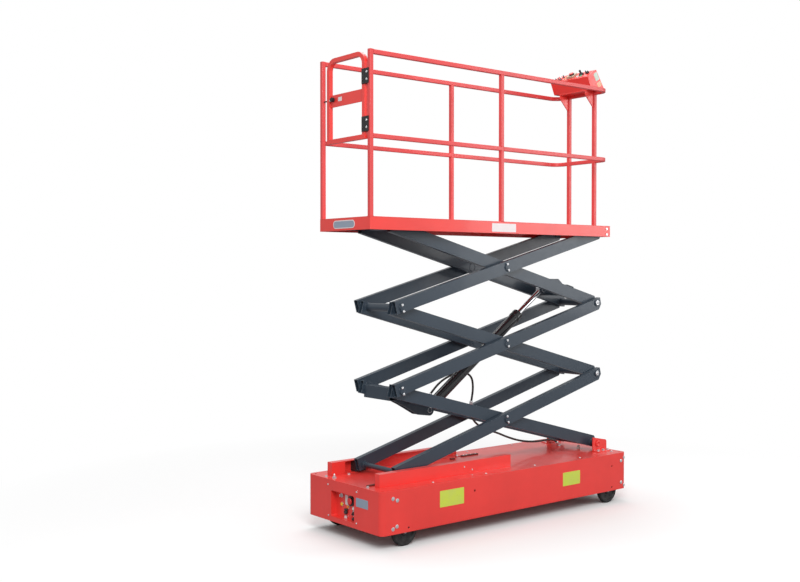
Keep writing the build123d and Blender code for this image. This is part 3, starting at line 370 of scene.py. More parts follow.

# ---- paint
# Steel sheet and tube, powder coated: signal red on the chassis and platform, blue-grey on
# the scissor arms. The coat is faintly orange-peeled, a little uneven in gloss, and lighter
# along its edges: rub wear, and on the arms mostly a painted highlight. The rails and posts
# wear a pinker copy of the red that stands for glare: painted light.


def build_coat_group():
    """Colour, roughness, normal of a powder coat. The colour drifts with a slow noise and
    lightens on its edges, found where the softened normal leaves the flat one: rub wear, and
    with the arms' light edge colour mostly a painted highlight."""
    group = bpy.data.node_groups.new("powder_coat", "ShaderNodeTree")
    new_socket = group.interface.new_socket
    for name in ("Paint", "Rub_and_highlight_colour"):
        new_socket(name, in_out="INPUT", socket_type="NodeSocketColor")
    for name, value in (("Rub", 0.5), ("Rough", 0.35), ("Spread", 0.1), ("Peel", 0.15)):
        new_socket(name, in_out="INPUT", socket_type="NodeSocketFloat").default_value = value
    for name, kind in (("Color", "Color"), ("Roughness", "Float"), ("Normal", "Vector")):
        new_socket(name, in_out="OUTPUT", socket_type="NodeSocket" + kind)
    given = group.nodes.new("NodeGroupInput").outputs
    result = group.nodes.new("NodeGroupOutput").inputs

    drift = add_ramp(group, add_noise(group, 3.5, 3.0), [(0.3, 0.93), (0.7, 1.05)])
    layers = {"Factor": 1.0, 6: given["Paint"], 7: drift}
    tinted = add_node(group, "Mix", layers, data_type="RGBA", blend_type="MULTIPLY").outputs[2]

    softened = add_node(group, "Bevel", {"Radius": 0.0022}, samples=4).outputs["Normal"]
    flat = add_node(group, "NewGeometry").outputs["Normal"]
    agree = add_node(group, "VectorMath", {0: softened, 1: flat}, operation="DOT_PRODUCT")
    # the edge mask lightens the paint toward the edge colour: rub wear, and on the arms mostly a painted
    # highlight
    edge = add_ramp(group, agree.outputs["Value"], [(0.90, 1.0), (0.995, 0.0)])
    patches = add_ramp(group, add_noise(group, 38.0, 6.0, 0.7), [(0.46, 0.0), (0.62, 1.0)])
    rub_and_highlight_mask = add_node(group, "Math", {0: edge, 1: patches}, operation="MULTIPLY").outputs[0]
    amount = add_node(group, "Math", {0: rub_and_highlight_mask, 1: given["Rub"]}, operation="MULTIPLY").outputs[0]
    layers = {"Factor": amount, 6: tinted, 7: given["Rub_and_highlight_colour"]}
    rub_and_highlight = add_node(group, "Mix", layers, data_type="RGBA")
    group.links.new(rub_and_highlight.outputs[2], result["Color"])

    clouds = {0: add_noise(group, 11.0, 4.0), 1: given["Spread"], 2: given["Rough"]}
    gloss = add_node(group, "Math", clouds, operation="MULTIPLY_ADD")
    group.links.new(gloss.outputs[0], result["Roughness"])

    peel = {"Distance": 0.0004, "Strength": given["Peel"], "Normal": softened}
    peel["Height"] = add_noise(group, 420.0, 1.0)
    group.links.new(add_node(group, "Bump", peel).outputs["Normal"], result["Normal"])
    return group


coat_group = build_coat_group()


def coated(name, paint, rub_and_highlight, rub, rough, spread, peel, coat=0.0):
    """A powder coated finish from the shared coat group."""
    material = new_material(name, paint, rough, coat=coat)
    tree, shader = nodes_of(material)
    given = {"Paint": (*paint, 1), "Rub_and_highlight_colour": (*rub_and_highlight, 1), "Rub": rub}
    given.update({"Rough": rough, "Spread": spread, "Peel": peel})
    finish = add_node(tree, "Group", given, node_tree=coat_group)
    for made, socket in (("Color", "Base Color"), ("Roughness", "Roughness"), ("Normal", "Normal")):
        tree.links.new(finish.outputs[made], shader.inputs[socket])
    return material


red_coat = coated("red_coat", (0.83, 0.045, 0.036), (0.95, 0.22, 0.17), 0.5, 0.26, 0.16, 0.12, 0.3)
# the rails and posts: a pinker, hazier copy of the same red paint, its tint painted glare
rail_glare_paint, rail_glare_rubbed = (0.72, 0.062, 0.062), (0.85, 0.25, 0.23)
rail_glare_coat = coated("rail_glare_coat", rail_glare_paint, rail_glare_rubbed, 0.5, 0.34, 0.16, 0.12, 0.15)
# the arms' edge colour is light and strong, so along their edges it is mostly a painted highlight, with
# some rub wear
arm_paint, arm_rub_and_highlight = (0.030, 0.046, 0.066), (0.30, 0.36, 0.42)
grey_coat = coated("grey_coat", arm_paint, arm_rub_and_highlight, 0.75, 0.30, 0.18, 0.15, 0.15)
black_gloss = coated("black_gloss", (0.012, 0.012, 0.014), (0.1, 0.1, 0.1), 0.3, 0.16, 0.1, 0.05, 0.5)
black_satin = coated("black_satin", (0.016, 0.016, 0.018), (0.09, 0.09, 0.09), 0.4, 0.42, 0.2, 0.15)

chrome = new_material("rod_chrome", (0.82, 0.82, 0.84), 0.07, metallic=1.0)
vary(chrome, "Roughness", 30.0, [(0.3, 0.04), (0.8, 0.13)], stretch=(1, 6, 1))
turned_steel = new_material("turned_steel", (0.5, 0.5, 0.51), 0.34, metallic=1.0)
vary(turned_steel, "Base Color", 35.0, [(0.3, (0.34, 0.34, 0.35)), (0.75, (0.6, 0.6, 0.6))])
grain(turned_steel, 500.0, 0.2, 0.0003)
wheel_nylon = new_material("wheel_nylon", (0.02, 0.02, 0.021), 0.5)
vary(wheel_nylon, "Base Color", 24.0, [(0.3, (0.012, 0.012, 0.013)), (0.75, (0.04, 0.039, 0.038))])
grain(wheel_nylon, 300.0, 0.3, 0.0005, 3.0)
slide_nylon = new_material("slide_nylon", (0.72, 0.7, 0.64), 0.5)
vary(slide_nylon, "Base Color", 30.0, [(0.3, (0.55, 0.53, 0.48)), (0.75, (0.8, 0.78, 0.72))])
black_mould = new_material("black_mould", (0.018, 0.018, 0.02), 0.5)
vary(black_mould, "Roughness", 40.0, [(0.3, 0.42), (0.7, 0.6)])
grain(black_mould, 1100.0, 0.3, 0.0003)

finish_of_slot = {
    "red_paint": red_coat,
    "grey_paint": grey_coat,
    "black_paint": black_gloss,
    "bright_steel": turned_steel,
    "chrome": chrome,
    "wheel_plastic": wheel_nylon,
    "slide_plastic": slide_nylon,
    "control_plastic": black_mould,
    "black_plastic": black_mould,
    "hose_rubber": hose_rubber,
}
for part in frame["record"]["subparts"]:
    materials = node[part["node"]].data.materials
    materials.clear()
    materials.append(finish_of_slot[part["material_slot"]])
# the rails and posts take the pinker copy of the red, as painted glare
for rail in ("gate_posts", "middle_posts", "end_posts", "top_rail", "middle_rail"):
    node[rail].data.materials[0] = rail_glare_coat

# ---- chassis fasteners
# Zinc plated hexagon bolts on washers, in pairs through the skirt into the frame's corner
# brackets, and a few more that hold the cover plate and the brackets on top of it.
up = np.array((0.0, 0.0, 1.0))


def hex_bolt(at, axis, across=0.017, height=0.0075, washer=0.012, phase=0.3):
    """A washer and a hexagon head standing on a face, along the face's outward axis."""
    thin = 0.0018
    disc = ((-0.0005, washer), (thin - 0.0004, washer), (thin, washer - 0.0006), (thin, 0.002))
    head_at = np.asarray(at, float) + thin * basis(axis)[2]
    return [turned(disc, at, axis, 20), hexagon(head_at, axis, across, height, phase)]


def dome_screw(at, axis, radius=0.008, height=0.0045, socket=0.0032):
    """A button head: an elliptic dome with a hexagon socket sunk in its crown."""
    t = np.linspace(0, 1, 7)
    across = socket + (radius - socket) * np.cos(t * math.pi / 2)
    dome = np.stack([height * np.sin(t * math.pi / 2), across], 1)
    sunk = [(height * 0.35, socket * 0.92)]
    return [turned(np.concatenate([[(-0.0005, radius)], dome, sunk]), at, axis, 18)]


def both_sides(x, y, z):
    """The place on each side of the machine, with the way out from the middle there."""
    return [(np.array((x, side * y, z)), (0, side, 0)) for side in (-1, 1)]


chassis_end, chassis_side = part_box("chassis_skirt")[1][:2]
corner_radius = 0.038


def on_skirt(x, z, side):
    """Point and outward normal on the skirt's long side, round its corner where x is past it."""
    over = max(0.0, abs(x) - (chassis_end - corner_radius))
    turn = math.asin(over / corner_radius)
    normal = (math.copysign(math.sin(turn), x), side * math.cos(turn), 0)
    y = side * (chassis_side - corner_radius + corner_radius * math.cos(turn))
    return (x, y, z), normal


corner_bolts = []
for x, z in (
    (-1.142, 0.341), (-1.105, 0.326), (-1.109, 0.154), (-1.142, 0.140),
    (1.176, 0.328), (1.211, 0.350), (1.177, 0.156), (1.212, 0.130),
):
    for side in (-1, 1):
        place, normal = on_skirt(x, z, side)
        corner_bolts += hex_bolt(place, normal, 0.019, 0.0035, 0.0135)
piece("corner_bolts", corner_bolts, zinc, "chassis", smooth=False)

cover_bolts = []
for x, y in ((-1.206, -0.237), (-1.206, 0.246), (-1.032, 0.218), (1.150, -0.350), (1.150, 0.350)):
    cover_bolts += hex_bolt((x, y, chassis_top), up, 0.017, 0.008, 0.013)
for x in (-0.75, -0.25, 0.25, 0.75):
    for place, _ in both_sides(x, 0.372, chassis_top):
        cover_bolts += dome_screw(place, up)
piece("cover_plate_bolts", cover_bolts, zinc, "chassis", smooth=False)

# ---- bracket bolts and stop
# Bolts through the lower pivot brackets' feet, a stud with its nut by the far track, and a
# nylon stop under the arms.
foot_top = chassis_top + 0.005
foot_bolts = []
for x in (1.072, 1.130, 1.182):
    for place, _ in both_sides(x, 0.282, foot_top):
        foot_bolts += hex_bolt(place, up, 0.019, 0.010, 0.014)
stud_at = (-1.190, 0.172, chassis_top)
stud_profile = ((0.0, 0.006), (0.026, 0.006), (0.030, 0.0045))
foot_bolts += hex_bolt(stud_at, up, 0.022, 0.012, 0.018)
foot_bolts += [turned(stud_profile, stud_at, up, 16)]
piece("bracket_bolts", foot_bolts, zinc, "chassis", smooth=False)

stop_profile = ((0, 0.012), (0.003, 0.013), (0.026, 0.011), (0.031, 0.009), (0.032, 0.006))
stop = [turned(stop_profile, (1.046, -0.095, chassis_top), up, 24)]
piece("arm_stop", stop, slide_nylon, "chassis")

# ---- sensor strip
# A dark steel bar screwed on the cover plate beside the far arms, with its row of screws,
# and a guide bar in front of the near track, whose dark red-brown is red paint with painted
# shade.
along_x = np.array((1.0, 0.0, 0.0))
along_y = np.array((0.0, 1.0, 0.0))
thin_sheet = 0.0009


def rounded_outline(width, height, corner, arc=5):
    """A rectangle's outline with round corners, as points about its middle: four quarter
    circles of the corner's radius, joined by straight runs."""
    turn = np.linspace(0, math.pi / 2, arc)
    quarter = np.stack([np.cos(turn), np.sin(turn)], 1) * corner
    spots = np.array([(1, 1), (-1, 1), (-1, -1), (1, -1)]) * (width / 2 - corner, height / 2 - corner)
    turns = np.array([((1, 0), (0, 1)), ((0, 1), (-1, 0)), ((-1, 0), (0, -1)), ((0, -1), (1, 0))])
    return np.concatenate([quarter @ by + spot for spot, by in zip(spots, turns)])


def slab(size, at, across, upward, thickness=thin_sheet, ease=0.0004):
    """A plate: a rectangle of this width, height and corner, on the plane of the two directions
    through its middle. It stands out by its thickness, and its front edge is rounded by the
    ease: rings of the outline, each drawn in and raised along a quarter circle, then closed."""
    outline = rounded_outline(*size)
    u = np.asarray(across, float)
    v = np.asarray(upward, float)
    w = np.cross(u, v)
    bend = np.linspace(0, math.pi / 2, 4)
    inset = np.concatenate([[0.0], ease * (1 - np.cos(bend))])
    rise = np.concatenate([[0.0], thickness - ease + ease * np.sin(bend)])
    reach = np.abs(outline).max(0)
    scale = (reach - inset[:, None]) / reach
    rings = outline[None] * scale[:, None]
    at = np.asarray(at, float)
    verts = (at + rings[..., :1] * u + rings[..., 1:] * v + rise[:, None, None] * w).reshape(-1, 3)
    rows, sides = len(inset), len(outline)
    front = (rows - 1) * sides + np.arange(sides)
    back = np.arange(sides)[::-1]
    return verts, between_rings(rows, sides) + [front.tolist(), back.tolist()]


# dark red-brown: the sensor bars' own colour, and on the guide bar red paint darkened as painted shade
# under the near track's end
dark_and_shaded_bar = coated("dark_and_shaded_bar", (0.16, 0.030, 0.022), (0.3, 0.12, 0.09), 0.5, 0.4, 0.2, 0.2)
bar_height = 0.010
bar_table = (
    ((0.170, 0.026, 0.004), 0.148, 0.236),
    ((0.040, 0.022, 0.004), -0.070, 0.192),
    # the guide bar, coloured as red in painted shade
    ((0.120, 0.020, 0.003), -1.128, -0.205),
)
bars = [
    slab(size, (x, y, chassis_top), along_x, along_y, bar_height, 0.002) for size, x, y in bar_table
]
piece("sensor_bars", bars, dark_and_shaded_bar, "chassis", smooth=False)
bar_screws = []
for x in (0.085, 0.115, 0.160, 0.210):
    bar_screws += dome_screw((x, 0.236, chassis_top + bar_height), up, 0.005, 0.003, 0.002)
bar_screws += hex_bolt((0.035, 0.262, chassis_top), up, 0.020, 0.012, 0.015)
track_face = -0.303
for place, way in (
    ((-0.395, track_face, 0.446), -along_y),
    ((-0.320, track_face, 0.418), -along_y),
    ((-0.362, -0.349, chassis_top), up),
):
    bar_screws += dome_screw(place, way, 0.006, 0.003, 0.0025)
piece("sensor_screws", bar_screws, zinc, "chassis")

# ---- plates on the skirt
# Blank self-adhesive plates: two yellow-green ones on the right side and a grey-blue one
# beside the base controls. Printed vinyl on thin aluminium, a little faded and scuffed.


def sticker(name, colour, grime, rough=0.35):
    """A blank vinyl face: its colour fades in soft patches and gathers dust in fine specks."""
    material = new_material(name, colour, rough, coat=0.2)
    tree, shader = nodes_of(material)
    colour = np.array(colour)
    faded = tuple(np.clip(colour * 0.86 + 0.05, 0, 1))
    dusty = tuple(colour * (1 - grime) + np.array((0.25, 0.23, 0.2)) * grime)
    slow = add_ramp(tree, add_noise(tree, 9.0, 3.0), [(0.3, faded), (0.65, tuple(colour))])
    specks = add_ramp(tree, add_noise(tree, 190.0, 5.0, 0.7), [(0.56, 0.0), (0.72, 1.0)])
    mixed = add_node(tree, "Mix", {"Factor": specks, 6: slow}, data_type="RGBA")
    mixed.inputs[7].default_value = (*dusty, 1)
    tree.links.new(mixed.outputs[2], shader.inputs["Base Color"])
    vary(material, "Roughness", 60.0, [(0.3, rough - 0.08), (0.7, rough + 0.12)])
    grain(material, 350.0, 0.12, 0.0003)
    return material


yellow_vinyl = sticker("yellow_vinyl", (0.60, 0.70, 0.06), 0.3)
grey_vinyl = sticker("grey_vinyl", (0.27, 0.33, 0.42), 0.3)
white_vinyl = sticker("white_vinyl", (0.80, 0.72, 0.72), 0.2)
yellow_plates = [
    slab((x1 - x0, z1 - z0, 0.005), ((x0 + x1) / 2, -chassis_side, (z0 + z1) / 2), along_x, up)
    for x0, x1, z0, z1 in ((-0.734, -0.513, 0.225, 0.338), (0.497, 0.689, 0.210, 0.312))
]
piece("side_plates", yellow_plates, yellow_vinyl, "chassis", smooth=False)
grey_plate = [slab((0.134, 0.060, 0.004), (-chassis_end, -0.215, 0.286), -along_y, up)]
piece("end_plate", grey_plate, grey_vinyl, "chassis", smooth=False)

# ---- base controls
# The ground control panel in its recess: a mushroom stop on a dark collar, a key switch,
# three lit buttons, a round socket with a flap, a rotary switch and a small gauge.


def moulded(name, colour, rough=0.3):
    """Moulded plastic: a touch of mottling in the colour, and fine handling marks."""
    material = new_material(name, colour, rough, coat=0.3)
    shade = tuple(np.array(colour) * 0.8)
    vary(material, "Base Color", 120.0, [(0.35, shade), (0.6, colour)])
    vary(material, "Roughness", 300.0, [(0.35, rough), (0.7, rough + 0.15)])
    grain(material, 900.0, 0.1, 0.0002)
    return material


stop_red = moulded("stop_red", (0.75, 0.02, 0.02))
button_yellow = moulded("button_yellow", (0.85, 0.55, 0.02))
button_orange = moulded("button_orange", (0.85, 0.24, 0.02))
button_white = moulded("button_white", (0.80, 0.80, 0.78))
button_green = moulded("button_green", (0.03, 0.35, 0.10))
dark_moulding = moulded("dark_moulding", (0.02, 0.02, 0.022), 0.45)


def ring(inner, outer, height, ease, at, axis, sides):
    """A flat ring standing on a face, its outer and inner edges rounded to the ease."""
    t = np.linspace(0, math.pi / 2, 5)
    over = np.stack([height - ease + ease * np.sin(t), outer - ease + ease * np.cos(t)], 1)
    back = np.stack([height - ease + ease * np.cos(t), inner + ease - ease * np.sin(t)], 1)
    profile = np.concatenate([[(0, outer)], over, back, [(height * 0.4, inner)]])
    return turned(profile, at, axis, sides)


def mushroom_profile(stem, cap, rise, stem_height):
    """Half section of a mushroom button: a straight stem, a rounded rim and a shallow dome."""
    t = np.linspace(-math.pi / 2, math.pi / 2, 9)
    rim = rise * 0.38
    edge = np.stack([stem_height + rim + rim * np.sin(t), cap - rim + rim * np.cos(t)], 1)
    s = np.linspace(0.05, 1, 5)[:-1]
    dome = np.stack([stem_height + 2 * rim + (rise - 2 * rim) * s, (cap - rim) * (1 - s**1.6)], 1)
    crown = [(stem_height + rise, 0.001)]
    return np.concatenate([[(0, stem), (stem_height, stem)], edge, dome, crown])


def button_profile(radius, height):
    """Half section of a lit push button: a straight side and a soft crown."""
    t = np.linspace(0, 1, 6)
    crown = np.stack([height * (0.7 + 0.3 * np.sin(t * math.pi / 2)), radius * np.cos(t * 1.45)], 1)
    return np.concatenate([[(0, radius)], crown])


panel_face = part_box("base_controls")[1][0]
outward = (-1, 0, 0)


def panel(y, z, lift=0.0):
    """A point on the recessed panel, lifted off it by this much."""
    return (panel_face - lift, y, z)


key_at, rotary_at, gauge_at = panel(0.077, 0.288), panel(-0.066, 0.186), panel(0.026, 0.144)
stop_at = panel(-0.039, 0.268)
buttons = (
    ("yellow_button", panel(0.072, 0.228), button_yellow),
    ("orange_button", panel(0.001, 0.221), button_orange),
    ("white_button", panel(-0.064, 0.219), button_white),
)
metal_rings = [ring(0.010, 0.0150, 0.004, 0.001, at, outward, 28) for _, at, _ in buttons] + [
    ring(0.011, 0.016, 0.006, 0.0012, key_at, outward, 28),
    ring(0.013, 0.018, 0.005, 0.001, rotary_at, outward, 28),
    ring(0.0125, 0.016, 0.008, 0.001, gauge_at, outward, 28),
    slab((0.004, 0.020, 0.0015), panel(0.077, 0.288, 0.006), -along_y, up, 0.016, 0.001),
    turned(((0, 0.0105), (0.006, 0.0105), (0.007, 0.009)), key_at, outward, 24),
]
controls = piece("control_rings", metal_rings, zinc, "chassis")
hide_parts("base_controls")
knob_across = -along_y * 0.8 + up * 0.6
knob_up = up * 0.8 + along_y * 0.6
knob_profile = ((0, 0.013), (0.012, 0.0125), (0.014, 0.010))
bar_size = (0.026, 0.007, 0.003)
socket_profile = ((0, 0.014), (0.014, 0.014), (0.016, 0.012), (0.016, 0.009), (0.006, 0.0088))
dark_parts = [
    ring(0.016, 0.034, 0.012, 0.0015, stop_at, outward, 36),
    turned(socket_profile, panel(0.022, 0.181), outward, 28),
    slab((0.034, 0.010, 0.003), panel(0.022, 0.199), -along_y, up, 0.012, 0.002),
    turned(knob_profile, rotary_at, outward, 28),
    slab(bar_size, panel(-0.066, 0.186, 0.012), knob_across, knob_up, 0.008, 0.002),
    turned(((0, 0.012), (0.010, 0.0115), (0.012, 0.009)), panel(-0.060, 0.147), outward, 24),
]
piece("control_bodies", dark_parts, dark_moulding, "chassis")
cap = [turned(mushroom_profile(0.014, 0.0240, 0.011, 0.016), stop_at, outward, 40)]
piece("stop_button", cap, stop_red, "chassis")
for lens_name, at, material in buttons:
    lens = [turned(button_profile(0.0115, 0.012), at, outward, 28)]
    piece(lens_name, lens, material, "chassis")
pale = [
    slab((0.030, 0.066, 0.002), panel(0.023, 0.264), -along_y, up),
    slab((0.044, 0.012, 0.002), panel(0.077, 0.311), -along_y, up),
    turned(((0, 0.0125), (0.006, 0.0123), (0.0065, 0.011)), gauge_at, outward, 28),
]
piece("legend_plates", pale, white_vinyl, "chassis")

window_screws = []
for y, z in ((0.181, 0.353), (-0.154, 0.354), (0.175, 0.139), (-0.153, 0.142)):
    window_screws += dome_screw((-chassis_end, y, z), outward, 0.0065, 0.0035, 0.0026)
piece("end_panel_screws", window_screws, zinc, "chassis")

# ---- wheel hubs
# A turned hub cap on each wheel's outer face, raised in the middle over the axle's end, with
# six black socket screws round it that hold the wheel on its hub.
hub_profile = ((0, 0.030), (0.005, 0.029), (0.0078, 0.024), (0.0078, 0.016), (0.009, 0.0155))
hub_depth, screw_circle = 0.0095, 0.050
for set_name in ("gate", "console"):
    low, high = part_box(f"wheels_{set_name}")
    middle = (low[0] + high[0]) / 2, high[1] - hub_depth, (low[2] + high[2]) / 2
    caps, screws = [], []
    for face, out in both_sides(*middle):
        caps += [turned(hub_profile, face, out, 32)]
        turn = np.arange(6) * math.pi / 3
        for dx, dz in zip(screw_circle * np.cos(turn), screw_circle * np.sin(turn)):
            screws += dome_screw(face + (dx, 0, dz), out, 0.0065, 0.0045, 0.003)
    wheelset = f"wheelset_{set_name}"
    piece(f"hub_caps_{set_name}", caps, black_satin, wheelset)
    piece(f"hub_screws_{set_name}", screws, black_satin, wheelset)

# ---- arm pins
# Each pin's head is painted with the arms. A keeper plate lies across it, square to the arm,
# held by two bright button screws, and the pins of the console end have a ring and a grease
# nipple instead.
pin_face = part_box("centre_pins_1")[1][1]
rise = math.radians(15.75)
arm_way = np.array((math.cos(rise), 0, math.sin(rise)))
arm_across = np.array((math.sin(rise), 0, -math.cos(rise)))


def pin_middle(node_name):
    """The middle of a node's box, on the middle plane."""
    low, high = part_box(node_name)
    return np.array(((low[0] + high[0]) / 2, 0, (low[2] + high[2]) / 2))


console_x, gate_x = 1.100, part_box("end_shafts_2")[0][0] + 0.023
centres = [pin_middle(f"centre_pins_{n}") for n in (1, 2, 3)]
centre_x, centre_z = centres[0][0], [centre[2] for centre in centres]
step = centre_z[1] - centre_z[0]
knee_z = [centre_z[0] + step / 2, centre_z[1] + step / 2]
keeper_table = (
    ("outer_1", centres[0]),
    ("outer_2", centres[1]),
    ("outer_3", centres[2]),
    ("outer_2", np.array((gate_x, 0, knee_z[0]))),
    ("outer_3", np.array((gate_x, 0, knee_z[1]))),
)
keeper_thickness = 0.002
for number, (body, middle) in enumerate(keeper_table, 1):
    plates, screws = [], []
    for side in (-1, 1):
        face = middle + (0, side * pin_face, 0)
        long_way = arm_across * side
        plates.append(slab((0.020, 0.066, 0.006), face, arm_way, long_way, keeper_thickness, 0.0006))
        for reach in (-0.023, 0.023):
            place = face + reach * arm_across + (0, side * keeper_thickness, 0)
            screws += dome_screw(place, (0, side, 0), 0.0095, 0.0032, 0.004)
    piece(f"pin_keepers_{number}", plates, grey_coat, body, smooth=False)
    piece(f"keeper_screws_{number}", screws, zinc, body)

# a grease nipple: its thread's collar, a neck and the ball end. (height, radius)
nipple_profile = (
    (0.0, 0.0045), (0.002, 0.0045), (0.003, 0.0028), (0.007, 0.0026), (0.0085, 0.0034),
    (0.011, 0.0022),
)
nipple_nut = ((0, 0.010), (0.0035, 0.010), (0.005, 0.008), (0.005, 0.004))
for body, z in (("inner_2", knee_z[0]), ("inner_3", knee_z[1])):
    rings, nipples = [], []
    for face, out in both_sides(console_x, pin_face, z):
        rings.append(ring(0.0105, 0.019, 0.004, 0.001, face, out, 32))
        nipples.append(turned(nipple_nut, face, out, 6))
        nipples.append(turned(nipple_profile, face + 0.005 * np.array(out), out, 16))
    tag = body[-1]
    piece(f"pin_rings_{tag}", rings, zinc, body)
    piece(f"grease_nipples_{tag}", nipples, zinc, body)

# the lower fixed pivots: a red cap over each pin's head, open in the middle
caps = []
cap_profile = ((0, 0.0236), (0.006, 0.0256), (0.0085, 0.024), (0.0085, 0.009), (0.0062, 0.0085))
cap_face, lower_pivot_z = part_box("end_shafts_1")[1][1] - 0.0055, 0.451
for at, out in both_sides(console_x, cap_face, lower_pivot_z):
    caps.append(turned(cap_profile, at, out, 32))
piece("pivot_caps", caps, red_coat, "inner_1")
for stage in (1, 2, 3):
    node[f"centre_pins_{stage}"].data.materials[0] = grey_coat
    node[f"end_shafts_{stage}"].data.materials[0] = grey_coat
node["lower_slide_blocks"].data.materials[0] = black_mould
node["upper_slide_blocks"].data.materials[0] = black_mould

# ---- weld beads
# Fillet welds, painted over: round the bosses on the faces of the arms, and where the square
# posts meet the deck and the rails.


def weld_bead(line, radius, across, sides=6):
    """A closed bead along a closed flat line, square to the axis given. It is a ring of points
    at each even step, its radius swelling once for each drop of weld, about every three radii,
    and the last ring joins the first."""
    loop = np.concatenate([line, line[:1]])
    run = np.concatenate([[0], np.cumsum(np.linalg.norm(np.diff(loop, axis=0), axis=1))])
    count = max(12, int(run[-1] / (radius * 1.1)))
    s = np.arange(count) * run[-1] / count
    even = np.stack([np.interp(s, run, loop[:, i]) for i in range(3)], 1)
    drops = max(1, round(run[-1] / (radius * 3.0)))
    swell = radius * (1 + 0.16 * np.sin(s / run[-1] * drops * 2 * math.pi))
    ahead = np.roll(even, -1, 0) - np.roll(even, 1, 0)
    ahead /= np.linalg.norm(ahead, axis=1)[:, None]
    axis = np.asarray(across, float) / np.linalg.norm(across)
    side = np.cross(ahead, axis)
    turn = np.arange(sides) * 2 * math.pi / sides
    spokes = np.cos(turn)[None, :, None] * side[:, None] + np.sin(turn)[None, :, None] * axis
    verts = (even[:, None] + swell[:, None, None] * spokes).reshape(-1, 3)
    i, j = np.meshgrid(np.arange(count), np.arange(sides), indexing="ij")
    i2, j2 = (i + 1) % count, (j + 1) % sides
    corners = (i * sides + j, i2 * sides + j, i2 * sides + j2, i * sides + j2)
    return verts, np.stack(corners, 2).reshape(-1, 4).tolist()


def round_weld(at, axis, radius, bead, across, count=40):
    """A bead round a circle of that radius, square to the axis."""
    u, v, _ = basis(axis)
    turn = np.arange(count) * 2 * math.pi / count
    line = np.asarray(at) + radius * (np.cos(turn)[:, None] * u + np.sin(turn)[:, None] * v)
    return weld_bead(line, bead, across)


def post_weld(at, width, bead):
    """A bead round a square post, level, following its round corners."""
    flat = rounded_outline(width, width, 0.004, 4)
    line = np.asarray(at) + np.concatenate([flat, np.zeros((len(flat), 1))], 1)
    return weld_bead(line, bead, up)


outer_face, outer_boss = 0.235, 0.0284
inner_side, inner_boss = 0.147, 0.0288
boss_bead = 0.0026
for stage, z_mid in enumerate(centre_z, 1):
    z_low, z_high = z_mid - step / 2, z_mid + step / 2
    outer_ends = ((gate_x, z_low), (centre_x, z_mid), (console_x, z_high))
    inner_ends = ((gate_x, z_high), (centre_x, z_mid), (console_x, z_low))
    outer_rings, inner_rings = [], []
    for rings, ends, y, boss in (
        (outer_rings, outer_ends, outer_face, outer_boss),
        (inner_rings, inner_ends, inner_side, inner_boss),
    ):
        for side in (-1, 1):
            for x, z in ends:
                at = (x, side * y, z)
                rings.append(round_weld(at, (0, side, 0), boss, boss_bead, along_y))
    outer, inner = f"outer_{stage}", f"inner_{stage}"
    piece(f"outer_welds_{stage}", outer_rings, grey_coat, outer)
    piece(f"inner_welds_{stage}", inner_rings, grey_coat, inner)

post_width = 0.030
deck_low, deck_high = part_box("deck_pan")
deck_top = deck_high[2]
rail_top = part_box("top_rail")[1][2]
middle_low, middle_high = (corner[2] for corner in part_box("middle_rail"))
gate_post_x, gate_post_y = deck_low[0] + post_width / 2, 0.2755
post_places = (
    (gate_post_x, gate_post_y),
    (-0.008, gate_post_y),
    (deck_high[0] - post_width / 2, 0.135),
)
post_welds = []
for x, y in post_places:
    joints = [middle_low, middle_high]
    if x != gate_post_x:
        joints.append(rail_top - 0.030)
    for side in (-1, 1):
        post_welds.append(post_weld((x, side * y, deck_top + 0.0008), post_width, 0.0024))
        post_welds += [post_weld((x, side * y, z), post_width - 0.001, 0.0014) for z in joints]
piece("post_welds", post_welds, red_coat, "platform")

# ---- cylinder
# Gloss black barrel with a turned gland: a wiper ring round the chrome rod and two raised
# bands. An elbow screws into the port, and both eyes have grease nipples and pin rings.
foot = np.array((-0.490, 0, 0.830))
head = np.array((0.700, 0, 1.690))
rod_way = (head - foot) / np.linalg.norm(head - foot)
rod_normal = np.array((-rod_way[2], 0, rod_way[0]))
gland_reach, eye_radius, eye_face = 1.150, 0.0345, 0.0327
port_along, port_side, port_rise = 0.080, 0.046, 0.020
gland_end = foot + gland_reach * rod_way
gland = [
    ring(0.0203, 0.031, 0.006, 0.0015, gland_end, rod_way, 40),
    ring(0.0405, 0.0442, 0.004, 0.001, gland_end - 0.016 * rod_way, rod_way, 48),
    ring(0.0405, 0.0442, 0.004, 0.001, gland_end - 0.050 * rod_way, rod_way, 48),
]
piece("gland_rings", gland, black_satin, "barrel")
barrel_welds = [
    round_weld(foot + 0.0505 * rod_way, rod_way, 0.0398, 0.003, rod_way, 56),
    round_weld(gland_end - 0.061 * rod_way, rod_way, 0.0408, 0.0022, rod_way, 56),
]
piece("barrel_welds", barrel_welds, black_gloss, "barrel")
port = foot + port_along * rod_way + port_side * along_y + port_rise * rod_normal
hose_start = np.array(port_fitting) - 0.012 * rod_way
elbow_line = np.array([port, port + (0, 0.012, 0), port + (-0.004, 0.018, 0.004), hose_start])
elbow = [hexagon(port, along_y, 0.024, 0.008), tube(elbow_line, 0.0075, 14, (1.0, 0.0, 0.6))]
piece("port_elbow", elbow, zinc, "barrel")
for eye, at, body in (("foot", foot, "barrel"), ("head", head, "rod")):
    nipple = [turned(nipple_profile, at + eye_radius * rod_normal, rod_normal, 16)]
    piece(f"{eye}_nipple", nipple, zinc, body)
for eye, at, body in (("foot", foot, "inner_1"), ("head", head, "inner_3")):
    rings = [
        ring(0.0152, 0.020, 0.003, 0.001, face, out, 32)
        for face, out in both_sides(at[0], eye_face, at[2])
    ]
    piece(f"{eye}_pin_rings", rings, zinc, body)

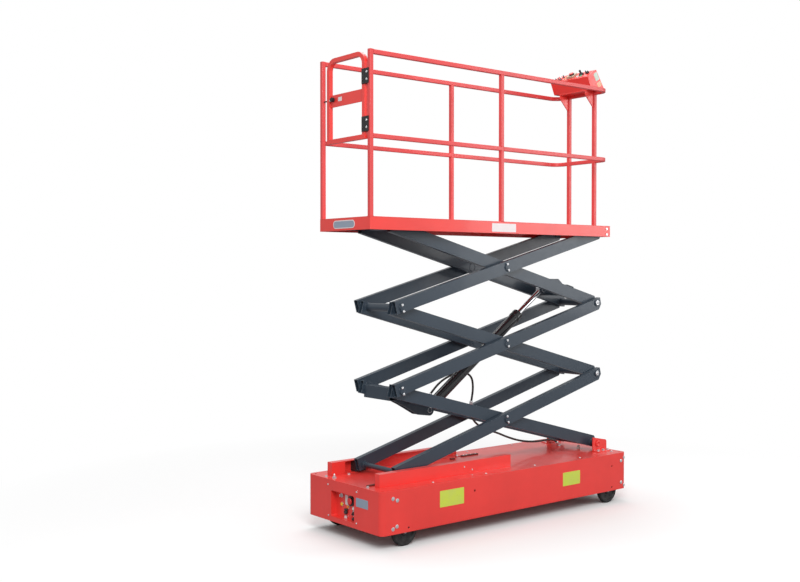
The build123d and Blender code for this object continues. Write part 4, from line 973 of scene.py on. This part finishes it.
# screws in the block that couples the two hoses, and the bulkhead nut on the cover
couplings = hex_bolt((0.026, 0.092, 0.790), up, 0.010, 0.005, 0.007)
couplings += dome_screw((0.036, 0.087, 0.781), -along_y, 0.006, 0.004, 0.0025)
piece("block_screws", couplings, zinc, "inner_1")
bulkhead = [hexagon((bulkhead_x, bulkhead_y, chassis_top), up, 0.030, 0.008)]
piece("bulkhead_nut", bulkhead, zinc, "chassis")

# ---- deck plate
# Chequer plate: raised lozenges in two slanting directions, a row turned against the next,
# rolled into the deck's steel sheet and painted with it.


def lozenges(x0, x1, y0, y1, pitch, length, width, rise):
    """Tread bars over a rectangle. Each is a lens outline of eight points round a raised
    middle ridge, closed underneath, laid at plus or minus 45 degrees turn about."""
    gx, gy = np.meshgrid(np.arange(x0, x1, pitch), np.arange(y0, y1, pitch), indexing="ij")
    odd = (np.indices(gx.shape).sum(0) % 2).ravel()
    t = np.arange(8) * math.pi / 4
    lens = np.stack([np.cos(t) * length / 2, np.sin(t) * width / 2, np.zeros(8)], 1)
    ridge = np.array([(-length * 0.28, 0, rise), (length * 0.28, 0, rise)])
    local = np.concatenate([lens, ridge])
    turn = np.where(odd == 1, math.pi / 4, -math.pi / 4)
    c, s = np.cos(turn)[:, None], np.sin(turn)[:, None]
    x = gx.ravel()[:, None] + c * local[:, 0] - s * local[:, 1]
    y = gy.ravel()[:, None] + s * local[:, 0] + c * local[:, 1]
    z = np.broadcast_to(deck_top + local[:, 2], x.shape)
    verts = np.stack([x, y, z], 2).reshape(-1, 3)
    right_half = [(0, 1, 9), (7, 0, 9), (1, 2, 9), (6, 7, 9)]
    left_half = [(4, 5, 8), (3, 4, 8), (2, 3, 8), (5, 6, 8)]
    flanks = [(2, 8, 9), (6, 9, 8)]
    under = [(0, k + 1, k) for k in range(1, 7)]
    faces = np.array(right_half + left_half + flanks + under)
    starts = np.arange(len(turn)) * len(local)
    return verts, (faces[None] + starts[:, None, None]).reshape(-1, 3).tolist()


tread_box = (deck_low[0] + 0.045, deck_high[0] - 0.040, -0.245, 0.250)
tread_pitch, bar_length, bar_width, bar_rise = 0.0225, 0.024, 0.0075, 0.0013
tread = lozenges(*tread_box, tread_pitch, bar_length, bar_width, bar_rise)
piece("deck_tread", [tread], red_coat, "platform", smooth=False)

# ---- marks on the deck's edge
# An oval badge left blank on the gate end, a blank white label on the right side, and two
# zinc plated bolts on each side at the console end.
badge_y, badge_z = 0.005, 2.156
badge_size, face_size = (0.250, 0.056, 0.0275, 9), (0.238, 0.044, 0.0215, 9)
badge = [slab(badge_size, (deck_low[0], badge_y, badge_z), -along_y, up, 0.0012, 0.0005)]
piece("end_badge", badge, white_vinyl, "platform", smooth=False)
face = [slab(face_size, (deck_low[0] - 0.0008, badge_y, badge_z), -along_y, up, 0.0007, 0.0003)]
piece("badge_face", face, grey_vinyl, "platform", smooth=False)
label = [slab((0.245, 0.062, 0.004), (0.0065, deck_low[1], 2.1555), along_x, up)]
piece("side_label", label, white_vinyl, "platform", smooth=False)
edge_bolts = []
for x, z in ((1.153, 2.176), (1.154, 2.132)):
    for place, out in both_sides(x, deck_high[1], z):
        edge_bolts += hex_bolt(place, out, 0.014, 0.006, 0.010)
piece("edge_bolts", edge_bolts, zinc, "platform", smooth=False)

# ---- gate furniture
# Bright screws in the hinges' leaves, their pins' round ends, a blank label and a white pin
# on the gate's plate beside the latch's ribbed knob.
leaf_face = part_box("hinge_leaves_post")[0][0]
pin_end_profile = ((0, 0.0048), (0.0025, 0.0048), (0.004, 0.003))
post_screws, gate_screws, pin_ends = [], [], []
for z in (2.812, 3.128):
    for dz in (-0.024, 0.024):
        post_screws += dome_screw((leaf_face, -0.259, z + dz), outward, 0.0085, 0.004, 0.0035)
        gate_screws += dome_screw((leaf_face, -0.2165, z + dz), outward, 0.006, 0.003, 0.0026)
    for way in (-1, 1):
        at = (-1.211, -0.240, z + way * 0.050)
        pin_ends.append(turned(pin_end_profile, at, (0, 0, way), 16))
piece("hinge_screws", post_screws, zinc, "platform")
piece("hinge_pin_ends", pin_ends, black_satin, "platform")
piece("gate_leaf_screws", gate_screws, black_satin, "gate")
plate_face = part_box("gate_plate")[0][0]
plate_z = 3.016
label = [slab((0.042, 0.028, 0.002), (plate_face, 0.066, plate_z), -along_y, up)]
piece("gate_label", label, white_vinyl, "gate", smooth=False)
knob_face, knob_y, knob_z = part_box("gate_latch")[0][0], 0.142, 3.019
knob_radius, knob_ribs = 0.0142, 20
rim = ((0.018, knob_radius), (0.0215, knob_radius), (0.0215, 0.0135))
rib_profile = ((0, 0.0008), (0.001, 0.0013), (0.017, 0.0013), (0.018, 0.0008))
knob_parts = [turned(rim, (knob_face + 0.022, knob_y, knob_z), outward, 24)]
for angle in np.arange(knob_ribs) * 2 * math.pi / knob_ribs:
    y, z = knob_y + knob_radius * math.cos(angle), knob_z + knob_radius * math.sin(angle)
    knob_parts.append(turned(rib_profile, (knob_face + 0.001, y, z), along_x, 6))
piece("latch_ribs", knob_parts, dark_moulding, "gate")
tip_profile = ((0, 0.007), (0.004, 0.0072), (0.010, 0.006), (0.013, 0.004))
tip = [turned(tip_profile, (plate_face, 0.172, plate_z), outward, 20)]
piece("latch_pin", tip, button_white, "gate")

# ---- post caps
# Pressed steel caps close the tops of the two gate posts. Each lies on its post's open end
# and is painted with it.
cap_size = (0.0296, 0.0296, 0.004)
caps = [
    slab(cap_size, at, along_x, along_y, 0.0018, 0.0012)
    for at, _ in both_sides(gate_post_x, gate_post_y, rail_top - 0.0004)
]
piece("post_caps", caps, red_coat, "platform")

# ---- console controls
# The upper control panel: a joystick in a rubber boot, a mushroom stop in its guard ring, a
# key switch, toggles and lit buttons on a panel screwed to the sloping top.
slope_start = np.array((1.025, 0, 3.395))
slope_end = np.array((1.125, 0, 3.460))
slope_way = (slope_end - slope_start) / np.linalg.norm(slope_end - slope_start)
slope_out = np.array((-slope_way[2], 0, slope_way[0]))
panel_sheet = 0.0016


def on_console(distance, y, lift=panel_sheet):
    """A point on the sloping top: so far up it from its front edge, lifted off it."""
    return slope_start + distance * slope_way + np.array((0, y, 0)) + lift * slope_out


panel_size = (0.098, 0.352, 0.006)
plate = [slab(panel_size, on_console(0.0596, 0, 0), slope_way, along_y, panel_sheet, 0.0006)]
controls = piece("console_panel", plate, red_coat, "platform", smooth=False)
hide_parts("console_controls")
block_height = 0.016
stop_foot, stop_seat = on_console(0.058, 0.005), on_console(0.058, 0.005, panel_sheet + block_height)
stick_at = on_console(0.062, -0.088)
boot_profile = (
    (0.000, 0.0230), (0.004, 0.0225), (0.007, 0.0185), (0.010, 0.0175), (0.012, 0.0145),
    (0.015, 0.0135), (0.018, 0.0100), (0.024, 0.0065),
)
lever_profile = ((0.022, 0.0060), (0.028, 0.0085), (0.038, 0.0085), (0.0425, 0.005))
base_profile = ((0, 0.010), (0.004, 0.0095), (0.005, 0.006))
toggle_profile = ((0, 0.0030), (0.016, 0.0042), (0.019, 0.002))
knob_top = on_console(0.068, -0.152, panel_sheet + 0.012)
dark = [
    turned(boot_profile, stick_at, slope_out, 32),
    turned(lever_profile, stick_at, slope_out, 24),
    ring(0.0125, 0.0245, 0.004, 0.001, stop_seat, slope_out, 36),
    turned(knob_profile, on_console(0.068, -0.152), slope_out, 28),
    slab(bar_size, knob_top, slope_way, along_y, 0.008, 0.002),
]
# each toggle: how far up the slope, y, lean
for distance, y, lean in (
    (0.080, -0.124, 0.2), (0.036, 0.160, -0.3), (0.036, 0.135, 0.3), (0.036, 0.110, -0.3),
    (0.072, 0.110, 0.3),
):
    dark.append(turned(base_profile, on_console(distance, y), slope_out, 24))
    at, way = on_console(distance, y, panel_sheet + 0.003), slope_out + lean * slope_way
    dark.append(turned(toggle_profile, at, way, 14))
piece("console_levers", dark, dark_moulding, "platform")
beige = moulded("beige_moulding", (0.55, 0.42, 0.30))
block = [slab((0.066, 0.070, 0.005), stop_foot, slope_way, along_y, block_height, 0.002)]
piece("console_stop_block", block, beige, "platform", smooth=False)
cap = [turned(mushroom_profile(0.010, 0.020, 0.010, 0.008), stop_seat, slope_out, 36)]
piece("console_stop", cap, stop_red, "platform")
bright = []
for colour, distance, y, material in (
    ("white", 0.030, -0.070, button_white),
    ("green", 0.030, -0.108, button_green),
    ("yellow", 0.070, 0.062, button_yellow),
    ("orange", 0.032, 0.062, button_orange),
):
    at = on_console(distance, y)
    lens = [turned(button_profile(0.0095, 0.009), at, slope_out, 24)]
    piece(f"console_{colour}_button", lens, material, "platform")
    bright.append(ring(0.0095, 0.0125, 0.003, 0.001, at, slope_out, 24))
key_at = on_console(0.084, 0.150)
bright += [
    ring(0.006, 0.010, 0.004, 0.001, key_at, slope_out, 24),
    turned(((0, 0.0062), (0.003, 0.0062), (0.0035, 0.005)), key_at, slope_out, 20),
]
for y in (-0.170, 0.170):
    for distance in (0.016, 0.103):
        bright += dome_screw(on_console(distance, y), slope_out, 0.004, 0.002, 0.0016)
piece("console_bezels", bright, zinc, "platform")

# blank stickers on the console's right side: a pale green one and a peach one below it
side_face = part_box("console_box")[0][1]
slant = math.radians(-57)
slant_way = np.array((math.cos(slant), 0, math.sin(slant)))
slant_up = np.array((-slant_way[2], 0, slant_way[0]))
green_vinyl = sticker("green_vinyl", (0.52, 0.66, 0.55), 0.2)
peach_vinyl = sticker("peach_vinyl", (0.80, 0.42, 0.22), 0.2)
upper = [slab((0.066, 0.046, 0.008), (1.1285, side_face, 3.405), slant_way, slant_up)]
piece("console_upper_label", upper, green_vinyl, "platform", smooth=False)
lower = [slab((0.040, 0.050, 0.006), (1.164, side_face, 3.348), slant_way, slant_up)]
piece("console_lower_label", lower, peach_vinyl, "platform", smooth=False)
